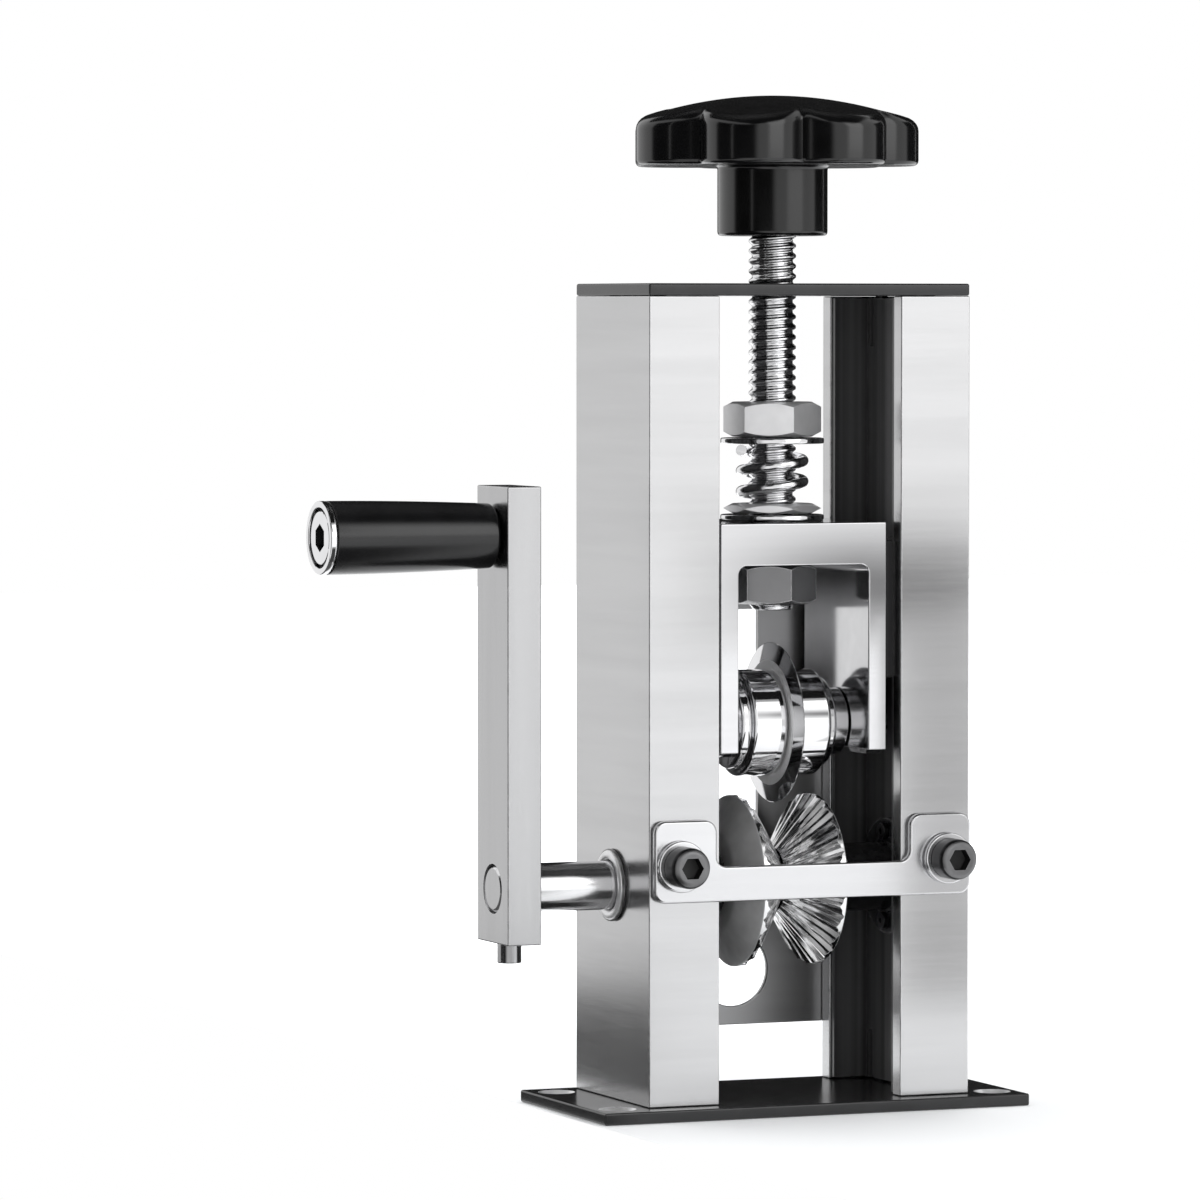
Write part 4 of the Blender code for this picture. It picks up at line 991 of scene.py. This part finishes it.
def makeCarriage():
    size, height, axle = carriageSizes, carriageSizes["bladeHeight"], axleSizes["radius"] + clearance
    low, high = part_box("carriage")
    inner, barLow, fillet = high.x - size["leg"], high.z - size["bar"], size["fillet"]
    half = [(high.x, high.z), (high.x, low.z), (inner, low.z)]
    half += arc(inner - fillet, barLow - fillet, fillet, 0, 90)
    outline = half + [(-x, z) for x, z in reversed(half)]
    block = prismPiece("carriageBlock", outline, "y", low.y, high.y, carriageMetal, size["edge"])
    cutters = [lofted("bore", holeThrough(radius, 0, length), start, axis, plainSides, carriageMetal)
               for radius, start, axis, length in (
                   (size["bore"], (0, 0, barLow), (0, 0, 1), high.z - barLow),
                   (axle, (low.x, 0, height), alongX, high.x - low.x))]
    stand(cutOut(block, cutters), "carriage_body", "carriage_steel", "carriage")
    for word in sideWords:
        ringFor(word + "AxleSpacer", word + "_axle_spacer", "carriage_body", "steel", axle, (0, 0, height),
                "x", zinc)


def makeAxle():
    size, height = axleSizes, carriageSizes["bladeHeight"]
    low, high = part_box("blade_axle")
    radius, length, across, chamfer = size["radius"], high.x - low.x, size["hex"], size["chamfer"]
    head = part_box("carriage")[0].x - size["headGap"] - low.x
    rings = [(0, 0), (across / 2 * crownShare, 0), hexRing(across, 0, 1), hexRing(across, head),
             (radius, head), (radius, length - chamfer), (radius - chamfer, length), (0, length)]
    axle = finishMesh(lofted("bladeAxle", rings, (low.x, 0, height), alongX, fineSides, zinc), angle=30)
    stand(axle, "carriage_body", "steel", "blade_axle")
    nutFor("axleNut", "axle_nut", "carriage_body", across, radius + clearance, height, "x", zinc)


def makeSeat():
    size, across = carriageSizes, nutSizes["across"]
    ringFor("seatWasher", "seat_washer", "carriage_body", "steel", size["bore"], (0, 0, 0), "z",
            chrome, fineSides, size["washerRound"])
    nutFor("springSeat", "spring_seat", "carriage_body", across, size["bore"], 0, "z", nutSteel,
           nutSizes["turn"])


def makeShoeScrews():
    size = shoeScrewSizes
    sides = {"shoe_screw_" + word: side for word, side in sideWords.items()}
    putScrews("shoeScrews", plainScrew(size), size,
              [seat(node, "x", side, size["height"]) for node, side in sides.items()], darkSteel,
              "carriage_body", "dark_screws", *sides)


makeCarriage()
makeAxle()
makeSeat()
makeShoeScrews()
print("carriage made")

# blade and its two rollers
bladeSizes = inMm(radius=19.8, half=1, edgeHalf=0.12, edgeRound=0.1, bevel=4.5, shoulder=0.2,
                  shoulderDrop=0.04) | {"sides": 160, "angle": 12}
rollerSizes = inMm(radius=13.2, step=11.2, stepWidth=2.5, round=0.9) | {"sides": 128}


def makeBlade():
    size, height, bore = bladeSizes, carriageSizes["bladeHeight"], axleSizes["radius"] + clearance
    half, shoulder, rim = size["half"], size["shoulder"], size["radius"] - size["bevel"]
    near = [(bore, -half), (rim - shoulder, -half), (rim + shoulder, size["shoulderDrop"] - half),
            (size["radius"] - size["edgeRound"], -size["edgeHalf"])]
    rings = near + [(size["radius"], 0)] + [(radius, -along) for radius, along in reversed(near)]
    disc = lofted("bladeDisc", rings, (0, 0, height), alongX, size["sides"], bladeSteel, True)
    finishMesh(disc, angle=size["angle"])
    paintFaces(disc, chrome, lambda middle: offAxis(middle, (0, 0, height), "x") > rim)
    stand(disc, "blade", "steel", "blade_disc")
    size = rollerSizes
    for word, side in sideWords.items():
        low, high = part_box(word + "_roller")
        width, outer, step = high.x - low.x, size["radius"], size["step"]
        body = width - size["stepWidth"]
        profile = [(bore, 0), (outer, 0), (outer, body), (step, body), (step, width), (bore, width)]
        roller = turnedPiece(word + "Roller", profile, (low.x if side > 0 else high.x, 0, height),
                             (side, 0, 0), chrome, size["sides"], size["round"], True)
        stand(roller, "blade", "steel", word + "_roller")


makeBlade()
print("blade made")

# adjusting screw with its nuts, washer, spring and knob
leadSizes = inMm(lead=2.5, root=5.05, crest=5.85, sliver=0.001, nutGap=0.1, endStep=0.4) | {
    "columns": 40, "rows": 8, "endSlope": 0.8, "flankLow": 0.12, "flankHigh": 0.9}


def makeLeadScrew():
    size = leadSizes
    low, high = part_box("lead_screw")
    screw = grownPiece("leadScrew", rolledThread, threadSteel, Bottom=low.z, Top=high.z, Lead=size["lead"],
                       Root=size["root"], Crest=size["crest"], Columns=size["columns"],
                       RowsPerTurn=size["rows"], EndSlope=size["endSlope"], EndStep=size["endStep"],
                       FlankLow=size["flankLow"], FlankHigh=size["flankHigh"])
    bm = bmesh.new()
    bm.from_mesh(screw.data)
    bmesh.ops.remove_doubles(bm, verts=bm.verts, dist=weld)
    bmesh.ops.dissolve_degenerate(bm, edges=bm.edges, dist=size["sliver"])
    bmesh.ops.holes_fill(bm, edges=[edge for edge in bm.edges if edge.is_boundary], sides=0)
    bmesh.ops.recalc_face_normals(bm, faces=bm.faces)
    bm.to_mesh(screw.data)
    bm.free()
    stand(finishMesh(screw, angle=60), "adjuster", "steel", "lead_screw")
    bore, nut = size["crest"] + size["nutGap"], nutSizes
    # the carriage nut takes the darker copy of nutSteel: painted shade, with painted highlights on its
    # corners
    for name, node, across, steel in (("pressureNut", "pressure_nut", nut["across"], nutSteel),
                                      ("carriageNut", "carriage_nut", nut["lowerAcross"], shadedLowerNutSteel)):
        nutFor(name, node, "adjuster", across, bore, 0, "z", steel, nut["turn"], nut["chamfer"])


springSizes = inMm(outer=9, wire=1.35, pitch=5.1) | {"phase": math.radians(80), "steps": 180, "keep": 0.79}


def makeSpring():
    size, wire = springSizes, springSizes["wire"]
    low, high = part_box("spring")
    start, end = low.z + wire, high.z - wire
    spring = grownPiece("pressureSpring", coil, threadSteel, Low=start, High=end, Wire=wire,
                        Radius=size["outer"] - wire, Turns=(end - start) / size["pitch"],
                        Phase=size["phase"], Steps=size["steps"])
    stand(finishMesh(spring, angle=50), "lift", "steel", "spring")
    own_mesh(spring)
    ringFor("pressureWasher", "pressure_washer", "lift", "steel", carriageSizes["bore"], (0, 0, 0), "z",
            chrome, fineSides, carriageSizes["washerRound"])


knobSizes = inMm(radius=36, valley=26.5, bottom=232, rimTop=242.6, top=249.3, hub=13.6, hubBottom=214.8,
                 hubFoot=3, hubFlare=4, hubRound=1.1, bore=6.1, boreLip=0.4, boreDepth=6, edge=1.3,
                 crown=4.5) | {
    "lobes": 7, "power": 0.55, "soft": 0.12, "turn": math.radians(-22.3), "crownFlat": 0.8,
    "columnsPerLobe": 32, "edgeSteps": 4, "crownSteps": 6, "domeSteps": 12}


def makeKnob():
    size = knobSizes

    def outline(angle):
        swell = math.hypot(math.cos(size["lobes"] * angle / 2), size["soft"])
        share = min(swell, 1) ** size["power"]
        return size["valley"] + (size["radius"] - size["valley"]) * share

    def dome(radius):
        return size["top"] - (size["top"] - size["rimTop"]) * (radius / size["radius"]) ** 2

    def wall(inset, height):
        return lambda angle: (outline(angle) - inset, height)

    def crownRing(share):
        # from the side wall over a rounded shoulder to the dome
        def ring(angle):
            radius, reach, turn = outline(angle), size["crown"], share * math.pi / 2
            drop = reach * size["crownFlat"] * (1 - math.sin(turn))
            return radius - reach * (1 - math.cos(turn)), dome(radius - reach) - drop
        return ring

    def domeRing(share):
        def ring(angle):
            radius = (outline(angle) - size["crown"]) * share
            return radius, dome(radius)
        return ring

    bore, lip, low, hub, bottom, edge = (size[key] for key in (
        "bore", "boreLip", "hubBottom", "hub", "bottom", "edge"))
    deep = low + size["boreDepth"]
    rings = [(0, deep), (bore, deep), (bore, low + lip), (bore + lip, low)]
    rings += soften([(hub - size["hubFoot"], low), (hub, low), (hub, bottom),
                     (hub + size["hubFlare"], bottom)], size["hubRound"], 4)
    for step in range(size["edgeSteps"] + 1):
        turn = step / size["edgeSteps"] * math.pi / 2
        rings.append(wall(edge * (1 - math.sin(turn)), bottom + edge * (1 - math.cos(turn))))
    rings += [crownRing(step / size["crownSteps"]) for step in range(size["crownSteps"] + 1)]
    rings += [domeRing(1 - step / size["domeSteps"]) for step in range(1, size["domeSteps"])]
    knob = lofted("starKnob", rings + [(0, size["top"])], (0, 0, 0), (0, 0, 1),
                  size["lobes"] * size["columnsPerLobe"], plastic, False, size["turn"])
    stand(finishMesh(knob, angle=50), "adjuster", "black_plastic", "star_knob")


makeLeadScrew()
makeSpring()
makeKnob()
print("adjuster made")

# CAD nodes that stay get their finish here
for node in ("left_guide_rail", "right_guide_rail", "left_guide_shoe", "right_guide_shoe"):
    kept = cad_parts[node]
    kept.data.materials.clear()
    kept.data.materials.append(railBlack)

# floor, lamps and camera
stageSizes = {"benchEdge": -0.0585, "benchFar": 3.0, "benchLevel": -0.05 * mm, "nearLift": 0.12,
              "farLift": 1.0, "near": 0.11, "far": 0.4, "mirrored": 0.35, "fill": 0.75, "aim": 0.12,
              "cardColumns": 24}
cameraSizes = {"azimuth": -22.34, "elevation": 2.415, "lens": 205.1, "distance": 1.6733, "sensor": 36,
               "target": (-0.0460, 0, 0.1256)}


def makeWorld():
    world = bpy.data.worlds.new("studio")
    bpy.context.scene.world = world
    world.use_nodes = True
    tree = world.node_tree
    tree.nodes.clear()
    path = addNode(tree, "ShaderNodeLightPath").outputs
    seen = mathNode(tree, "ADD", path["Is Camera Ray"], path["Is Glossy Ray"])
    seen = mathNode(tree, "MINIMUM", mathNode(tree, "ADD", seen, path["Is Transmission Ray"]), 1.0)
    light, white = (addNode(tree, "ShaderNodeBackground", {"Color": (1, 1, 1, 1), "Strength": strength})
                    for strength in (stageSizes["fill"], 1.0))
    mixed = addNode(tree, "ShaderNodeMixShader", {0: seen, 1: light.outputs[0], 2: white.outputs[0]})
    addNode(tree, "ShaderNodeOutputWorld", {0: mixed.outputs[0]})


def emptyMaterial(name):
    material = bpy.data.materials.new(name)
    material.use_nodes = True
    material.node_tree.nodes.clear()
    return material, material.node_tree


def makeFloor():
    # the bench ends beside the base, so that the crank can swing below its top
    size = stageSizes
    edge, far, level = size["benchEdge"], size["benchFar"], size["benchLevel"]
    mesh = bpy.data.meshes.new("bench")
    mesh.from_pydata([(x, y, level) for x, y in boxOutline(edge, -far, far, far)], [], [(0, 1, 2, 3)])
    material, tree = emptyMaterial("benchWhite")
    path = addNode(tree, "ShaderNodeLightPath").outputs
    side = addNode(tree, "ShaderNodeNewGeometry").outputs["Backfacing"]
    plain = addNode(tree, "ShaderNodeBsdfDiffuse", {"Color": (0.89, 0.9, 0.91, 1)})
    away = vectorNode(tree, "LENGTH", addNode(tree, "ShaderNodeTexCoord").outputs["Object"])["Value"]
    # painted light: for camera rays the bench glows little near the machine and fully white far from it, so
    # that it turns plain white away from the machine and keeps the machine's shadow only close by
    lifted = rangeNode(tree, away, size["near"], size["far"], size["nearLift"], size["farLift"])
    glow = addNode(tree, "ShaderNodeEmission", {"Color": (0.97, 0.985, 1, 1), "Strength": lifted})
    mirrored = mathNode(tree, "MULTIPLY", path["Is Glossy Ray"], size["mirrored"])
    reflected = addNode(tree, "ShaderNodeEmission", {"Strength": mirrored})
    lift = addNode(tree, "ShaderNodeMixShader", {
        0: path["Is Camera Ray"], 1: reflected.outputs[0], 2: glow.outputs[0]})
    both = addNode(tree, "ShaderNodeAddShader", {0: plain.outputs[0], 1: lift.outputs[0]})
    clear = addNode(tree, "ShaderNodeBsdfTransparent")
    hidden = mathNode(tree, "MULTIPLY", side, path["Is Camera Ray"])
    whole = addNode(tree, "ShaderNodeMixShader", {0: hidden, 1: both.outputs[0], 2: clear.outputs[0]})
    addNode(tree, "ShaderNodeOutputMaterial", {0: whole.outputs[0]})
    bench = addPiece("bench", mesh, material)


def makeCard(name, place, tones, fade, rest=1.0):
    # a card that is seen only in reflections; place gives its points, and its tone runs from bottom to
    # top and fades to that of the room behind it at both ends
    columns = stageSizes["cardColumns"]
    points = [place(step / columns, up) for step in range(columns + 1) for up in (0, 1)]
    faces = [(2 * step, 2 * step + 2, 2 * step + 3, 2 * step + 1) for step in range(columns)]
    mesh = bpy.data.meshes.new(name)
    mesh.from_pydata([tuple(point) for point in points], [], faces)
    layer = mesh.uv_layers.new(name="card")
    for spot, corner in zip(layer.data, mesh.loops):
        spot.uv = (corner.vertex_index // 2 / columns, corner.vertex_index % 2)
    material, tree = emptyMaterial(name + "Tone")
    where = addNode(tree, "ShaderNodeUVMap", uv_map="card")
    parted = addNode(tree, "ShaderNodeSeparateXYZ", {0: where.outputs[0]}).outputs
    ramp = addNode(tree, "ShaderNodeValToRGB", {0: parted["Y"]})
    stops = ramp.color_ramp.elements
    while len(stops) < len(tones):
        stops.new(0.5)
    for stop, (position, tone) in zip(stops, tones):
        stop.position, stop.color = position, (tone, tone, tone, 1)
    masks = [rangeNode(tree, parted["X"], end, end + spread, interpolation_type="SMOOTHSTEP")
             for end, spread in ((0.0, fade[0]), (1.0, -fade[1]))]
    colour = mixColour(tree, mathNode(tree, "MULTIPLY", *masks), (rest, rest, rest, 1), ramp.outputs[0])
    glow = addNode(tree, "ShaderNodeEmission", {"Color": colour, "Strength": 1.0})
    addNode(tree, "ShaderNodeOutputMaterial", {0: glow.outputs[0]})
    card = addPiece(name, mesh, material)
    card.visible_camera = card.visible_diffuse = card.visible_shadow = False


def aroundCamera(turn, distance, height):
    # a place at an angle to the right of the camera's side of the machine
    angle = math.radians(cameraSizes["azimuth"] + turn)
    return Vector((math.sin(angle) * distance, -math.cos(angle) * distance, height))


def curved(start, end, distance, low, high):
    # an upright card bent round the machine, between two angles from the camera
    return lambda along, up: aroundCamera(start + (end - start) * along, distance, low + (high - low) * up)


def flat(corner, across, rising):
    return lambda along, up: Vector(corner) + Vector(across) * along + Vector(rising) * up


def makeLamp(name, place, width, height, power):
    light = bpy.data.lights.new(name, "AREA")
    light.shape = "RECTANGLE"
    light.size, light.size_y, light.energy = width, height, power
    lamp = bpy.data.objects.new(name, light)
    bpy.context.scene.collection.objects.link(lamp)
    lamp.location = place
    facing = Vector((0, 0, stageSizes["aim"])) - place
    lamp.rotation_euler = facing.to_track_quat("-Z", "Y").to_euler()
    lamp.visible_camera = False


def makeCamera():
    size = cameraSizes
    turn, lift = math.radians(size["azimuth"]), math.radians(size["elevation"])
    back = Vector((math.sin(turn) * math.cos(lift), -math.cos(turn) * math.cos(lift), math.sin(lift)))
    data = bpy.data.cameras.new("camera")
    data.lens, data.sensor_width = size["lens"], size["sensor"]
    camera = bpy.data.objects.new("camera", data)
    bpy.context.scene.collection.objects.link(camera)
    camera.location = Vector(size["target"]) + back * size["distance"]
    camera.rotation_euler = (-back).to_track_quat("-Z", "Y").to_euler()
    bpy.context.scene.camera = camera


# each lamp's place, width, height and power
lamps = {"keyLamp": (aroundCamera(46, 1.1, 0.5), 0.75, 1.3, 1.4),
         "upperLamp": (aroundCamera(50, 1.1, 0.62), 0.75, 0.8, 1.9),
         "topLamp": (Vector((0, 0.3, 1.4)), 0.9, 0.6, 9)}

# each card's shape, tones from bottom to top, fades at both ends and the tone behind it
cards = {
    "frontFlag": (curved(-92, -16, 1.25, -0.5, 1.05), ((0, 0.03), (1, 0.02)), (0.12, 0.35)),
    "hubFlag": (curved(-45, 9, 0.2, 0.206, 0.34), ((0, 0.02), (0.9, 0.02), (1, 0.5)), (0.1, 0.25)),
    "hubEdgeFlag": (curved(92, 130, 0.2, 0.206, 0.34), ((0, 0.02), (0.9, 0.02), (1, 0.5)), (0.15, 0.1)),
    "backFlag": (curved(126, 204, 1.3, -0.2, 1.5), ((0, 0.02), (1, 0.01)), (0.1, 0.1)),
    "ceilingFlag": (flat((-0.8, -1.3, 1.1), (1.6, 0, 0), (0, 2.4, 0)), ((0, 0.01), (1, 0.01)), (0.1, 0.1)),
    "gripFlag": (flat((-0.05, -0.3, 0.0004), (0.112, 0, 0), (-0.11, 0.27, 0)),
                 ((0, 0.8), (0.3, 0.06), (1, 0.06)), (0.12, 0.12)),
    "lowFlag": (flat((-0.34, -0.07, -0.002), (0.28, 0, 0), (0, 0.4, 0)),
                ((0, 0.2), (0.1, 0.1), (0.85, 0.1), (1, 0.8)), (0.25, 0.02)),
    "bandFlag": (flat((-0.005, -0.095, 0.1085), (0.09, 0, 0), (0, 0, 0.041)),
                 ((0, 1.35), (0.2, 0.75), (0.36, 0.34), (0.48, 0.32), (0.66, 0.75), (0.88, 1.35)),
                 (0.63, 0.05), 1.35),
    "postFlag": (flat((0.0545, -0.0945, 0.0175), (0.032, 0, 0), (0, 0, 0.1)),
                 ((0, 0.85), (0.1, 0.8), (1, 0.8)), (0.06, 0.1), 1.3)}

makeWorld()
makeFloor()
makeCamera()
for name, values in lamps.items():
    makeLamp(name, *values)
for name, values in cards.items():
    makeCard(name, *values)
bpy.context.scene.view_settings.view_transform = "Standard"
print("studio made")
